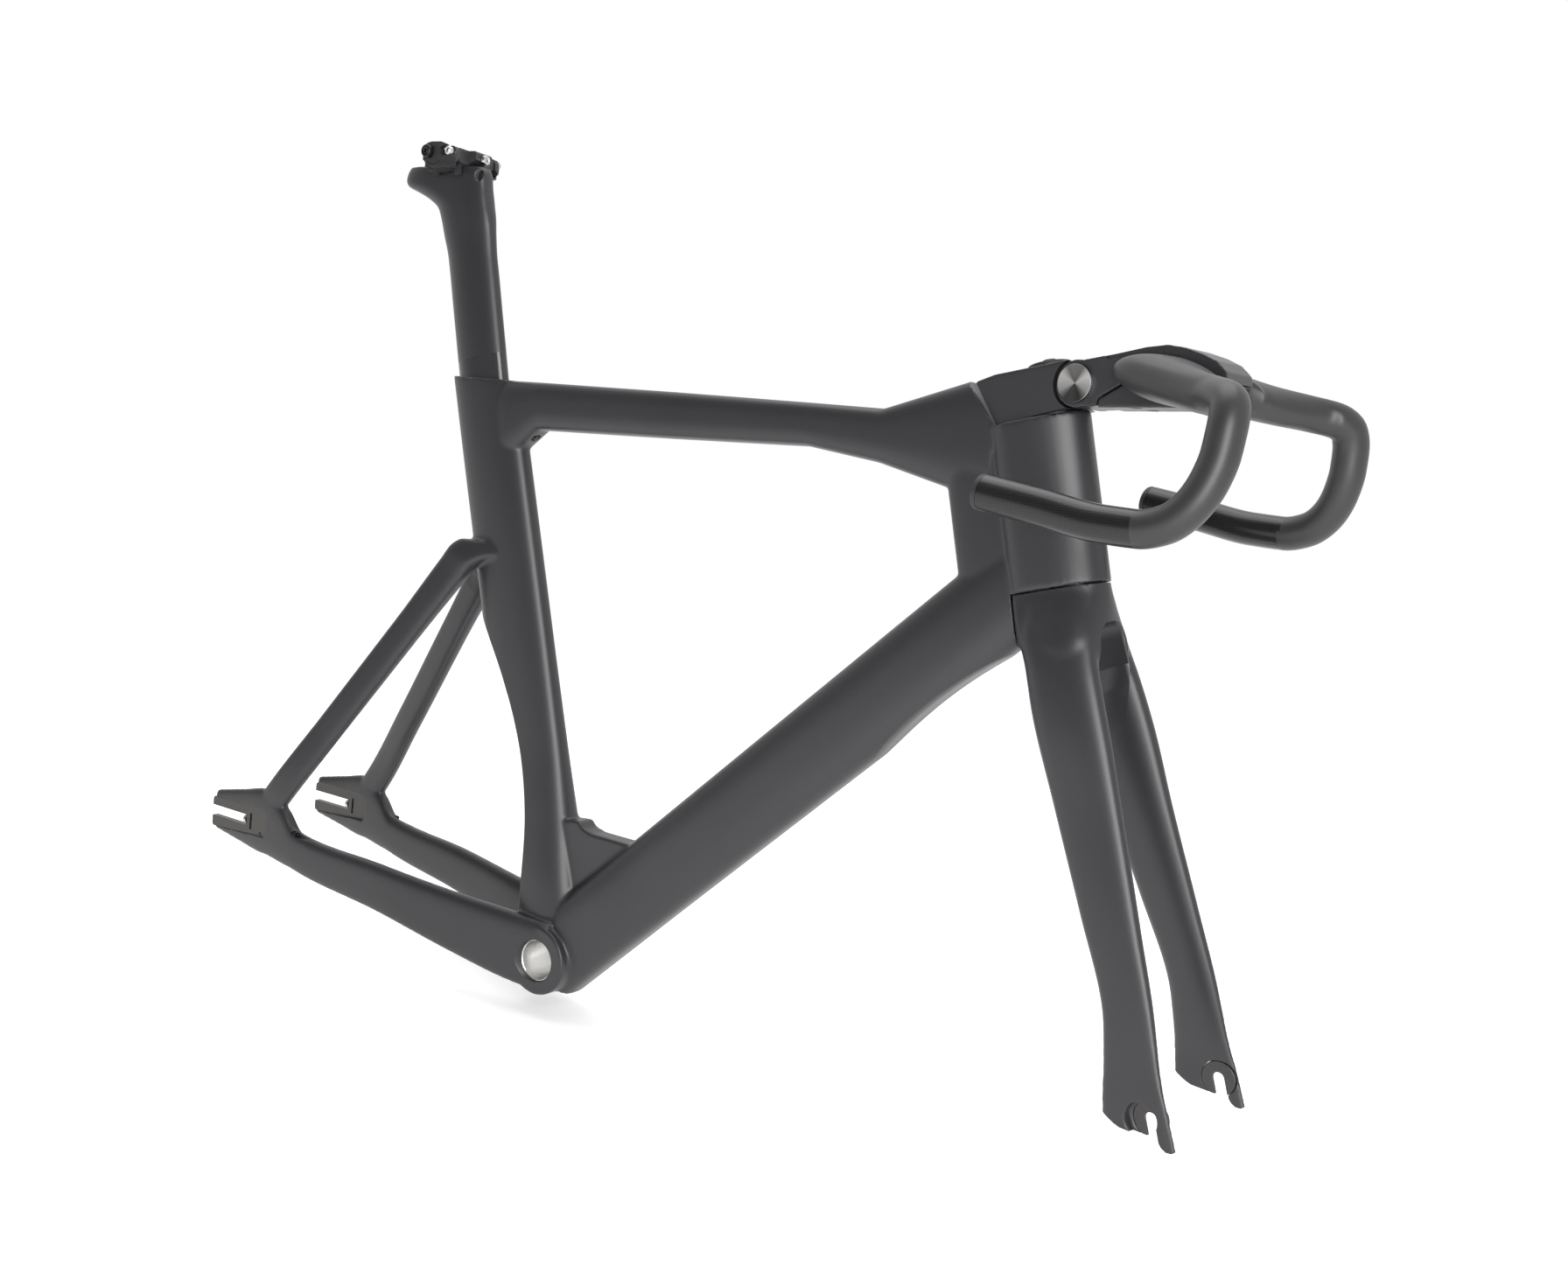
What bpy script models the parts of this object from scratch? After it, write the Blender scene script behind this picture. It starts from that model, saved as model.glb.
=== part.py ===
"""Aero track bicycle frameset: frame, fork, headset, stem, drop handlebar, seatpost and rail clamp.

Row frame: origin at the centre of the bottom bracket, +X to the front of the bicycle, +Z up, +Y to its left.
Sizes below are in millimetres and are turned into metres where each mesh is made.
The steering is built straight ahead, then turned about the head axis by STEER_AT_REST.
"""

import math

import bmesh
import bpy
from mathutils import Matrix, Vector

MM = 0.001
GAP = 0.3  # space left between two pieces that meet

# Driving dimensions
REAR_AXLE = (-385.0, 55.5)  # X and Z
FRONT_AXLE = (577.0, 48.5)
WHEEL_CLEARANCE_REAR = 351.0  # radius of the cut-out in the seat tube
WHEEL_CLEARANCE_FRONT = 337.0  # radius of the cut-out in the down tube and the fork crown
REAR_HUB_HALF = 60.0  # inner face of each rear dropout
FRONT_HUB_HALF = 50.0  # inner face of each fork tip
HEAD_ANGLE = math.radians(74.6)
SEAT_ANGLE = math.radians(76.0)
HEAD_POINT = (424.0, 460.5)  # a point on the steering axis, X and Z
HEAD_TOP, HEAD_BOTTOM = 50.0, -73.0  # along the steering axis from HEAD_POINT
HEAD_RADIUS = 24.0
STEERER_RADIUS = 14.3
CROWN_SWEEP = 46.0  # radius of the crown behind the steering axis
STEER_AT_REST = math.radians(-8.5)
TOP_TUBE_TOP = 504.0
SHELL_HALF, SHELL_RADIUS, SHELL_BORE = 34.0, 31.0, 17.0
POST_TOP_CENTRE = (-154.0, 505.0)  # where the post's centre line leaves the seat tube
POST_DEPTH, POST_WIDTH = 28.7, 12.2  # half sizes
POST_BOTTOM = 392.0
STEM_PIVOT = (436.0, 532.0)
BAR_CENTRE = (508.0, 537.3)
BAR_CLAMP_RADIUS = 15.9
BAR_RADIUS = 12.3
BAR_END = (434.0, 115.6, 452.5)  # middle of the open end of the left drop
BAR_END_WAY = (-0.989, 0.048, 0.14)  # the way it points
CLAMP_TILT = (-215.0, 745.0)  # axis on which the saddle clamp tilts

FORWARD = Vector((math.sin(HEAD_ANGLE), 0, math.cos(HEAD_ANGLE)))
UPWARD = Vector((-math.cos(HEAD_ANGLE), 0, math.sin(HEAD_ANGLE)))
ACROSS = Vector((0, 1, 0))
X, Y, Z = Vector((1, 0, 0)), Vector((0, 1, 0)), Vector((0, 0, 1))
SIDES = {"right": -1, "left": 1}

MATERIALS = {
    "carbon": ((0.052, 0.052, 0.056), 0.5, 0.0),
    "dark_metal": ((0.07, 0.068, 0.066), 0.42, 0.8),
    "black_steel": ((0.02, 0.02, 0.021), 0.4, 0.9),
    "silver": ((0.72, 0.71, 0.69), 0.25, 1.0),
    "bearing_steel": ((0.55, 0.55, 0.56), 0.2, 1.0),
    "black_plastic": ((0.015, 0.015, 0.016), 0.5, 0.0),
}


def clear_scene():
    for old in list(bpy.data.objects):
        bpy.data.objects.remove(old)


def make_materials():
    made = {}
    for name, (colour, roughness, metallic) in MATERIALS.items():
        material = bpy.data.materials.new(name)
        material.use_nodes = True
        shader = material.node_tree.nodes["Principled BSDF"]
        shader.inputs["Base Color"].default_value = (*colour, 1)
        shader.inputs["Roughness"].default_value = roughness
        shader.inputs["Metallic"].default_value = metallic
        made[name] = material
    return made


def head(p, q, y=0.0):
    """A point p ahead of the steering axis and q up along it."""
    return Vector((HEAD_POINT[0], y, HEAD_POINT[1])) + p * FORWARD + q * UPWARD


def wave(value, power):
    return math.copysign(abs(value) ** (2 / power), value)


def ring(centre, u, v, front, back, half, power=2.0, back_power=None, sides=24):
    """A closed outline: front and back reach along u and -u, half reaches along v."""
    points = []
    for k in range(sides):
        angle = 2 * math.pi * (k + 0.5) / sides
        along, side = math.cos(angle), math.sin(angle)
        shape = power if along >= 0 else (back_power or power)
        reach = front if along >= 0 else back
        points.append(centre + u * reach * wave(along, shape) + v * half * wave(side, shape))
    return points


def outward(mesh_data):
    shape = bmesh.new()
    shape.from_mesh(mesh_data)
    bmesh.ops.recalc_face_normals(shape, faces=shape.faces)
    shape.to_mesh(mesh_data)
    shape.free()


def solid(name, points, faces, material, smooth=True):
    """An object from points in millimetres."""
    mesh_data = bpy.data.meshes.new(name)
    mesh_data.from_pydata([p * MM for p in points], [], faces)
    outward(mesh_data)
    if smooth:
        mesh_data.shade_smooth()
        mesh_data.set_sharp_from_angle(angle=math.radians(35))
    made = bpy.data.objects.new(name, mesh_data)
    bpy.context.scene.collection.objects.link(made)
    if material:
        mesh_data.materials.append(material)
    return made


def loft(name, rings, material, closed=False):
    """A skin over rings of equally many points, with flat ends, or joined end to end if closed."""
    count = len(rings[0])
    points = [p for outline in rings for p in outline]
    faces = []
    for i in range(len(rings) if closed else len(rings) - 1):
        here, there = i * count, (i + 1) % len(rings) * count
        for k in range(count):
            nxt = (k + 1) % count
            faces.append((here + k, here + nxt, there + nxt, there + k))
    if not closed:
        faces.append(tuple(range(count)))
        faces.append(tuple(range(len(points) - count, len(points))))
    return solid(name, points, faces, material)


def prism(name, outline, low, high, material):
    """An outline of (x, z) points swept along Y from low to high."""
    rings = [[Vector((x, y, z)) for x, z in outline] for y in (low, high)]
    return loft(name, rings, material)


def turned(name, start, axis, profile, material, sides=24):
    """A solid or a ring turned round an axis: profile holds (distance along the axis, radius)."""
    axis = axis.normalized()
    u = axis.cross(Y) if abs(axis.dot(Y)) < 0.9 else axis.cross(X)
    u.normalize()
    v = axis.cross(u)
    rings = [ring(start + axis * along, u, v, r, r, r, sides=sides) for along, r in profile]
    hollow = profile[0] == profile[-1]
    return loft(name, rings[:-1] if hollow else rings, material, closed=hollow)


def tube_ring(name, start, axis, length, inner, outer, material, sides=24):
    profile = [(0, inner), (0, outer), (length, outer), (length, inner), (0, inner)]
    return turned(name, start, axis, profile, material, sides)


def as_cutter(cutter):
    cutter.hide_render = True
    cutter.display_type = "WIRE"
    return cutter


def combine(target, other, operation="DIFFERENCE", solver="EXACT"):
    """Cuts other out of target, or joins it on. Other stays in the scene as a guide."""
    as_cutter(other)
    modifier = target.modifiers.new(other.name, "BOOLEAN")
    modifier.object = other
    modifier.operation = operation
    modifier.solver = solver
    return target


def box_cutter(name, centre, u, v, w, sizes):
    """A box with its edges along u, v and w; sizes are half lengths."""
    a, b, c = sizes
    rings = [
        [centre + u * i * a + v * j * b + w * k * c for i, j in ((-1, -1), (1, -1), (1, 1), (-1, 1))]
        for k in (-1, 1)
    ]
    return loft(name, rings, None)


def arc(cx, cz, radius, start, end, steps):
    """Points of an arc in X and Z, angles in degrees."""
    turns = [math.radians(start + (end - start) * k / steps) for k in range(steps + 1)]
    return [(cx + radius * math.cos(t), cz + radius * math.sin(t)) for t in turns]


# Frame tubes -----------------------------------------------------------------------------------


def seat_tube_rings(grow=0.0, low=-8.0, high=TOP_TUBE_TOP):
    """Level sections: rear and front edges lean back at about the seat angle, and the foot flares."""
    rings = []
    for z, half in ((low, 27), (60, 25), (125, 19.5), (190, 16), (300, 15), (430, 15), (high, 14.5)):
        rear = -188.5 + (TOP_TUBE_TOP - z) * 0.2867
        front = -94.0 + (445 - z) * 0.2962
        centre = Vector(((rear + front) / 2, 0, z))
        reach = (front - rear) / 2 + grow
        rings.append(ring(centre, X, Y, reach, reach, half + grow, 2.3))
    return rings


def post_axis_point(z, y=0.0):
    return Vector((POST_TOP_CENTRE[0] - (z - POST_TOP_CENTRE[1]) / math.tan(SEAT_ANGLE), y, z))


def post_rings(grow, levels):
    deep, wide = POST_DEPTH + grow, POST_WIDTH + grow
    return [ring(post_axis_point(z), X, Y, deep, deep, wide, 2.0, sides=28) for z in levels]


def head_tube_rings(grow=0.0, low=HEAD_BOTTOM, high=HEAD_TOP):
    front = HEAD_RADIUS + 1 + grow
    return [
        ring(head(0, q), FORWARD, ACROSS, front, 50 + grow, HEAD_RADIUS + grow, 2.0, 2.6, sides=32)
        for q in (low, high)
    ]


def web_rings(grow=0.0):
    """The narrow wall behind the head tube that the top tube and the down tube run into."""
    levels = (HEAD_BOTTOM - 2 * grow, HEAD_TOP + 2 * grow)
    return [ring(head(-58, q), FORWARD, ACROSS, 30 + grow, 30 + grow, 17 + grow, 3.6) for q in levels]


def steering_cylinder(name, low, high, radius, sides=40):
    return turned(name, head(0, low), UPWARD, [(0, radius), (high - low, radius)], None, sides)


def wheel_cylinder(name, axle, radius, half, sides=140):
    start = Vector((axle[0], -half, axle[1]))
    return turned(name, start, Y, [(0, radius), (2 * half, radius)], None, sides)


def make_head_tube(mats):
    tube = loft("head_tube", head_tube_rings(), mats["carbon"])
    combine(tube, loft("web_join", web_rings(), None), "UNION")
    combine(tube, steering_cylinder("head_bore", HEAD_BOTTOM - 5, HEAD_TOP + 5, 17.0, 32))
    combine(tube, steering_cylinder("upper_seat", HEAD_TOP - 9, HEAD_TOP + 5, 20.5, 36))
    combine(tube, steering_cylinder("lower_seat", HEAD_BOTTOM - 5, HEAD_BOTTOM + 8, 20.5, 36))
    return tube


def cut_by_head_tube(tube):
    """Trims a tube where it meets the head tube and the web behind it."""
    outer = head_tube_rings(GAP, HEAD_BOTTOM - GAP, HEAD_TOP + GAP)
    combine(tube, loft(tube.name + "_head_trim", outer, None))
    combine(tube, loft(tube.name + "_web_trim", web_rings(GAP), None))


def make_top_tube(mats):
    sections = ((-112, 432, 14), (-76, 462.5, 14), (70, 466.5, 14), (205, 471, 14.5), (272, 463.5, 16))
    rings = []
    for x, low, half in sections:
        reach = (TOP_TUBE_TOP - low) / 2
        rings.append(ring(Vector((x, 0, low + reach)), Z, Y, reach, reach, half, 3.2))
    for x, low, top, half in ((342, 448, 529, 17.5), (372, 444, 540, 18.5)):
        reach = (top - low) / 2
        rings.append(ring(Vector((x, 0, low + reach)), Z, Y, reach, reach, half, 3.6))
    tube = loft("top_tube", rings, mats["carbon"])
    combine(tube, wedge_bolt_hole("wedge_bolt_access", 4.4, 40, 44))
    combine(tube, wedge_pocket("top_tube_wedge_pocket"))
    cut_by_head_tube(tube)
    combine(tube, loft("top_tube_seat_trim", seat_tube_rings(GAP, high=TOP_TUBE_TOP + 6), None))
    combine(tube, turned("stem_sweep", head(0, 50.3), UPWARD, [(0, 45), (60, 70.4)], None, 72))
    return tube


def down_tube_rings(grow=0.0):
    along = Vector((math.cos(math.radians(43.8)), 0, math.sin(math.radians(43.8))))
    up = Vector((-along.z, 0, along.x))
    rings = []
    for t, half in ((-8, 27), (70, 25), (150, 21.5), (400, 21), (500, 20), (575, 18)):
        reach = 35.8 + grow
        rings.append(ring(along * t + up * 0.5, up, Y, reach, reach, half + grow, 2.7, sides=28))
    return rings


def shell_trim(name):
    start = Vector((0, -SHELL_HALF - 8, 0))
    profile = [(0, SHELL_RADIUS + GAP), (2 * SHELL_HALF + 16, SHELL_RADIUS + GAP)]
    return turned(name, start, Y, profile, None, 44)


def make_down_tube(mats):
    tube = loft("down_tube", down_tube_rings(), mats["carbon"])
    gusset = [(-4, 58), (-4, 124), (14, 126), (20, 120.5), (30, 118), (76, 117.5), (92, 122), (60, 60)]
    combine(tube, prism("gusset", gusset, -11, 11, None), "UNION")
    combine(tube, shell_trim("down_tube_shell_trim"))
    cut_by_head_tube(tube)
    combine(tube, loft("down_tube_seat_trim", seat_tube_rings(0.6, low=-9), None))
    combine(tube, steering_cylinder("crown_recess", -170, HEAD_BOTTOM - 0.1, CROWN_SWEEP + 2.0))
    combine(tube, wheel_cylinder("front_wheel_space", FRONT_AXLE, WHEEL_CLEARANCE_FRONT, 60))
    return tube


WEDGE_BOLT_AXIS = Vector((-0.8, 0, 0.6))
WEDGE_BOLT_HEAD = Vector((-79.0, 0, 451.0))


def wedge_pocket(name):
    return box_cutter(name, Vector((-115, 0, 473)), X, Y, Z, (8.4, 8.3, 20))


def wedge_bolt_hole(name, radius, back, ahead):
    start = WEDGE_BOLT_HEAD - WEDGE_BOLT_AXIS * back
    return turned(name, start, WEDGE_BOLT_AXIS, [(0, radius), (back + ahead, radius)], None, 16)


def make_seat_tube(mats):
    tube = loft("seat_tube", seat_tube_rings(), mats["carbon"])
    combine(tube, loft("post_socket", post_rings(GAP, (POST_BOTTOM - 8, 520)), None))
    combine(tube, wedge_pocket("seat_tube_wedge_pocket"))
    combine(tube, wedge_bolt_hole("wedge_bolt_bore", 2.9, 20, 44))
    combine(tube, wheel_cylinder("rear_wheel_space", REAR_AXLE, WHEEL_CLEARANCE_REAR, 60))
    combine(tube, shell_trim("seat_tube_shell_trim"))
    return tube


def make_bottom_bracket(mats):
    start = Vector((0, -SHELL_HALF, 0))
    chamfer = 1.2
    profile = [
        (0, SHELL_BORE + 1.7),
        (0, 25),
        (3, 25 + chamfer),
        (3.2, SHELL_RADIUS),
        (2 * SHELL_HALF - 3.2, SHELL_RADIUS),
        (2 * SHELL_HALF - 3, 25 + chamfer),
        (2 * SHELL_HALF, 25),
        (2 * SHELL_HALF, SHELL_BORE + 1.7),
        (0, SHELL_BORE + 1.7),
    ]
    turned("bottom_bracket_shell", start, Y, profile, mats["carbon"], 40)
    lip = 2.0
    length = 2 * (SHELL_HALF - lip)
    sleeve_start = start + Y * lip
    tube_ring("bottom_bracket_sleeve", sleeve_start, Y, length, SHELL_BORE, SHELL_BORE + 1.4, mats["silver"], 40)


# Rear stays ------------------------------------------------------------------------------------

PLATE_OUTLINE = [(-408, 40), (-330, 44.5), (-327, 48), (-327, 66), (-330, 69.5), (-408, 69.5)]
SLOT_LOW, SLOT_HIGH, SLOT_END = 50.2, 60.8, -357.0


def side_prism(name, outline, inner, outer, side, material):
    low, high = sorted((side * inner, side * outer))
    return prism(name, outline, low, high, material)


def grown(outline, by):
    """The outline moved outwards from its middle by a fixed step each way."""
    mid_x = sum(x for x, _ in outline) / len(outline)
    mid_z = sum(z for _, z in outline) / len(outline)
    return [(x + math.copysign(by, x - mid_x), z + math.copysign(by, z - mid_z)) for x, z in outline]


def chainstay_rings(side, grow=0.0):
    sections = (
        (-406, 37, 76, 62.6, 3.9),
        (-368, 31, 84, 62.4, 4.6),
        (-332, 26, 91, 61.6, 6.2),
        (-306, 22.5, 77, 60.8, 6.8),
        (-286, 19.5, 57, 60, 7),
        (-180, 4.5, 48.5, 52.5, 7.5),
        (-95, -13.5, 41, 41.5, 8),
        (-28, -25, 37, 32, 9),
        (8, -29, 34, 24, 9),
    )
    rings = []
    for x, low, high, y, half in sections:
        centre = Vector((x, side * y, (low + high) / 2))
        reach = (high - low) / 2 + grow
        rings.append(ring(centre, Z, Y, reach, reach, half + grow, 3.4))
    return rings


def make_chainstay(mats, word, side):
    stay = loft(f"chainstay_{word}", chainstay_rings(side), mats["carbon"])
    pocket = side_prism(f"plate_pocket_{word}", grown(PLATE_OUTLINE, GAP), 50, 75, side, None)
    combine(stay, pocket)
    combine(stay, screw_bore(f"screw_bore_stay_{word}", side))
    combine(stay, shell_trim(f"chainstay_shell_trim_{word}"))
    combine(stay, loft(f"chainstay_seat_trim_{word}", seat_tube_rings(0.5, low=-9), None))
    combine(stay, loft(f"chainstay_down_trim_{word}", down_tube_rings(0.5), None))
    return stay


def screw_bore(name, side):
    start = Vector((-362, side * 63.2, REAR_AXLE[1]))
    return turned(name, start, X, [(0, 2.9), (110, 2.9)], None, 16)


def make_dropout(mats, word, side):
    plate = side_prism(f"dropout_plate_{word}", PLATE_OUTLINE, REAR_HUB_HALF, 66.4, side, mats["dark_metal"])
    slot = [(-420, SLOT_LOW)]
    middle, half = (SLOT_LOW + SLOT_HIGH) / 2, (SLOT_HIGH - SLOT_LOW) / 2
    slot += arc(SLOT_END - half, middle, half, -90, 90, 10)
    slot += [(-420, SLOT_HIGH)]
    combine(plate, side_prism(f"axle_slot_{word}", slot, 50, 75, side, None))
    combine(plate, screw_bore(f"screw_bore_plate_{word}", side))
    start = Vector((-363.5, side * 63.2, REAR_AXLE[1]))
    profile = [(0, 1.2), (1.2, 2.5), (78, 2.5)]
    screw = turned(f"chain_tensioner_screw_{word}", start, X, profile, mats["black_steel"], 16)
    socket = turned(f"screw_socket_{word}", start + X * 75, X, [(0, 1.4), (6, 1.4)], None, 6)
    combine(screw, socket)


def make_seatstay(mats, word, side):
    up = Vector((-0.817, 0, 0.577))
    path = (
        (-338, 62, 63, 15, 5),
        (-319, 61, 88, 15, 6),
        (-263.5, 48.5, 167, 14.5, 6.5),
        (-193, 31, 269, 14.5, 7.5),
        (-150, 21, 330, 15.5, 8.5),
        (-140, 18.5, 343, 15.5, 9),
        (-128, 13, 350, 15, 9),
        (-112, 6, 352, 14, 9),
    )
    rings = [
        ring(Vector((x, side * y, z)), up, Y, deep, deep, half, 2.8) for x, y, z, deep, half in path
    ]
    stay = loft(f"seatstay_{word}", rings, mats["carbon"])
    combine(stay, box_cutter(f"stay_top_{word}", Vector((-130, 0, 381)), X, Y, Z, (60, 60, 24)))
    combine(stay, loft(f"seatstay_seat_trim_{word}", seat_tube_rings(GAP), None))
    combine(stay, loft(f"seatstay_foot_trim_{word}", chainstay_rings(side, GAP), None))
    foot = box_cutter(f"stay_foot_{word}", Vector((-330, side * 61, 40)), X, Y, Z, (90, 20, 33))
    combine(stay, foot)
    return stay


# Fork and headset --------------------------------------------------------------------------------

TIP_DOWN = Vector((0.33, 0, -0.944)).normalized()  # the way the axle slots open


def fork_side(mats, word, side):
    """One blade: level sections from inside the crown down to the tip."""
    sections = (
        (368, 413.5, 474, 6, 30.5),
        (350, 417, 479.5, 11, 35.5),
        (330, 427, 486.5, 15.5, 39.5),
        (300, 438.8, 499, 19.5, 43.3),
        (240, 467, 521.5, 26, 46.5),
        (170, 501.5, 548, 34.5, 51.5),
        (111, 529.5, 570, 42, 55),
        (80, 536, 580, 46.5, 56.5),
        (50, 540, 592.5, 50, 57.5),
        (28, 544, 602, 50, 57.5),
    )
    rings = []
    for z, rear, front, near, far in sections:
        middle = Vector(((rear + front) / 2, side * (near + far) / 2, z))
        reach = (front - rear) / 2
        rings.append(ring(middle, X, Y, reach, reach, (far - near) / 2, 2.5))
    return loft(f"blade_{word}", rings, None)


def fork_crown():
    rings = []
    sections = ((-73.8, 0, 25, 46, 24, 2.1), (-88, 0, 25.5, 46, 29, 2.3), (-103, 0, 26, 45.5, 33.5, 2.5))
    for q, p, front, back, half, power in sections + ((-116, 0, 27, 42, 36.5, 2.6),):
        rings.append(ring(head(p, q), FORWARD, ACROSS, front, back, half, power, sides=32))
    return rings


def axle_slot(name, side, width, inner, outer):
    """A slot for the front axle: a round top and two straight sides that run off the tip."""
    across = Vector((-TIP_DOWN.z, 0, TIP_DOWN.x))
    middle = Vector((FRONT_AXLE[0], 0, FRONT_AXLE[1]))
    outline = []
    for k in range(9):
        turn = math.pi * k / 8
        outline.append(middle + across * width * math.cos(turn) - TIP_DOWN * width * math.sin(turn))
    outline += [middle + TIP_DOWN * 60 - across * width, middle + TIP_DOWN * 60 + across * width]
    return side_prism(name, [(p.x, p.z) for p in outline], inner, outer, side, None)


def tip_trim(name, side, lift=0.0):
    """What lies under the tip: a slanted rear edge, the rear jaw and a longer front jaw."""
    outline = [(500, 10), (500, 62), (539, 43.5), (556, 36.5), (571, 37), (582, 37), (589.5, 32.5)]
    outline += [(595, 31.5), (599, 34), (640, 40), (640, 10)]
    return side_prism(name, [(x, z + lift) for x, z in outline], 40, 70, side, None)


def make_fork(mats, pivot):
    fork = loft("fork", fork_crown(), mats["carbon"])
    for word, side in SIDES.items():
        combine(fork, fork_side(mats, word, side), "UNION")
    half_section = ((-19, 309), (-17.5, 325), (-11, 336), (11, 336), (17.5, 325), (19, 309))
    start = Vector((FRONT_AXLE[0], 0, FRONT_AXLE[1]))
    arch = [(y, r + 1) for y, r in half_section]
    combine(fork, turned("fork_arch", start, Y, arch, None, 120))
    combine(fork, steering_cylinder("steerer_socket", -92.3, -60, STEERER_RADIUS + GAP, 32))
    for word, side in SIDES.items():
        combine(fork, tip_trim(f"tip_trim_{word}", side))
        bore_start = Vector((FRONT_AXLE[0], side * 45, FRONT_AXLE[1]))
        combine(fork, turned(f"tip_bore_{word}", bore_start, Y * side, [(0, 13.3), (8, 13.3)], None, 32))
        recess_start = Vector((571.5, side * 52, 47))
        combine(fork, turned(f"tip_recess_{word}", recess_start, Y * side, [(0, 12), (20, 12)], None, 28))
        combine(fork, axle_slot(f"blade_slot_{word}", side, 4.9, 40, 70))
    fork.parent = pivot
    for word, side in SIDES.items():
        make_tip_plate(mats, word, side, pivot)
    steerer = tube_ring("steerer_tube", head(0, -92), UPWARD, 176, 12.0, STEERER_RADIUS, mats["carbon"], 32)
    steerer.parent = pivot


def make_tip_plate(mats, word, side, pivot):
    start = Vector((FRONT_AXLE[0], side * FRONT_HUB_HALF, FRONT_AXLE[1]))
    plate = turned(f"fork_tip_plate_{word}", start, Y * side, [(0, 13), (2.7, 13)], mats["dark_metal"], 32)
    combine(plate, axle_slot(f"plate_slot_{word}", side, 4.7, 45, 60))
    combine(plate, tip_trim(f"plate_trim_{word}", side))
    plate.parent = pivot


def make_headset(mats, pivot):
    """Two cartridge bearings: the outer races stay with the head tube, the inner races turn."""
    for place, low in (("lower", HEAD_BOTTOM + 0.3), ("upper", HEAD_TOP - 8.4)):
        tube_ring(f"{place}_outer_race", head(0, low), UPWARD, 7.2, 18.4, 20.2, mats["bearing_steel"], 24)
        middle = head(0, low + 1.2)
        balls = tube_ring(f"{place}_ball_cage", middle, UPWARD, 4.8, 17.2, 17.9, mats["bearing_steel"])
        inner = tube_ring(f"{place}_inner_race", head(0, low), UPWARD, 6.6, 14.8, 16.9, mats["bearing_steel"])
        balls.parent = pivot
        inner.parent = pivot
    ring_start = head(0, HEAD_TOP - 0.9)
    split = tube_ring("compression_ring", ring_start, UPWARD, 1.4, 14.6, 19.5, mats["silver"], 32)
    split.parent = pivot


# Stem --------------------------------------------------------------------------------------------


def slab(name, outline, half, chamfer, material):
    """A side outline given a width across Y and a chamfer along both of its rims."""
    mid_x = sum(x for x, _ in outline) / len(outline)
    mid_z = sum(z for _, z in outline) / len(outline)
    rings = []
    for y, inset in ((-half, chamfer), (-half + chamfer, 0), (half - chamfer, 0), (half, chamfer)):
        points = []
        for x, z in outline:
            reach = math.hypot(x - mid_x, z - mid_z)
            scale = 1 - inset / reach
            points.append(Vector((mid_x + (x - mid_x) * scale, y, mid_z + (z - mid_z) * scale)))
        rings.append(points)
    return loft(name, rings, material)


def pivot_cylinder(name, inner, outer, radius, sides=32):
    start = Vector((STEM_PIVOT[0], inner, STEM_PIVOT[1]))
    return turned(name, start, Y, [(0, radius), (outer - inner, radius)], None, sides)


def make_stem_clamp(mats, pivot):
    low_rear = head(-44, 50.8)
    low_front = head(22.5, 50.8)
    outline = [(low_rear.x, low_rear.z), (low_front.x, low_front.z), (434, 547)]
    outline += [(425, 549.5), (408, 546.5), (368, 539), (350, 533), (348, 528)]
    clamp = slab("stem_steerer_clamp", outline, 21, 3, mats["carbon"])
    for word, side in SIDES.items():
        low, high = sorted((side * 8.0, side * 30))
        combine(clamp, pivot_cylinder(f"stem_cheek_space_{word}", low, high, 17.8))
    combine(clamp, pivot_cylinder("stem_tongue", -8, 8, 15), "UNION")
    sweep = turned("stem_back_sweep", head(0, 45), UPWARD, [(0, 40.7), (60, 61.7)], None, 72)
    combine(clamp, sweep, "INTERSECT")
    combine(clamp, steering_cylinder("steerer_bore", 45, 100, STEERER_RADIUS + GAP, 32))
    combine(clamp, steering_cylinder("top_cap_seat", 84.6, 110, 16.6, 32))
    slit = head(-38, 70)
    combine(clamp, box_cutter("clamp_slit", slit, FORWARD, ACROSS, UPWARD, (26, 1.0, 60)))
    combine(clamp, pivot_cylinder("tongue_bore", -20, 20, 5.3, 20))
    for place, q in (("lower", 61), ("upper", 77)):
        start = head(-31, q, -14.6)
        combine(clamp, turned(f"bolt_bore_{place}", start, Y, [(0, 2.8), (34.6, 2.8)], None, 14))
        combine(clamp, turned(f"bolt_seat_{place}", head(-31, q, 14), Y, [(0, 4.8), (20, 4.8)], None, 20))
        bolt_profile = [(0, 2.5), (28, 2.5), (28, 4.4), (33, 4.4)]
        name = f"stem_clamp_bolt_{place}"
        bolt = turned(name, head(-31, q, -13.6), Y, bolt_profile, mats["black_steel"], 20)
        combine(bolt, turned(f"bolt_socket_{place}", head(-31, q, 16), Y, [(0, 2.2), (9, 2.2)], None, 6))
        bolt.parent = pivot
    clamp.parent = pivot
    cap_profile = [(0, 16.2), (2.6, 16.2), (3.4, 15.4)]
    cap = turned("steerer_top_cap", head(0, 85), UPWARD, cap_profile, mats["carbon"], 32)
    combine(cap, steering_cylinder("top_cap_hole", 80, 95, 3.4, 20))
    cap.parent = pivot
    profile = [(0, 2.9), (30, 2.9), (30, 5.2), (32.6, 5.2)]
    bolt = turned("preload_bolt", head(0, 58.8), UPWARD, profile, mats["black_steel"], 20)
    combine(bolt, steering_cylinder("preload_socket", 89.4, 95, 2.6, 6))
    combine(cap, steering_cylinder("preload_head_seat", 86.6, 95, 5.6, 20))
    bolt.parent = pivot
    plug = tube_ring("expander_plug", head(0, 52), UPWARD, 26, 3.2, 11.7, mats["silver"], 24)
    plug.parent = pivot


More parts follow.
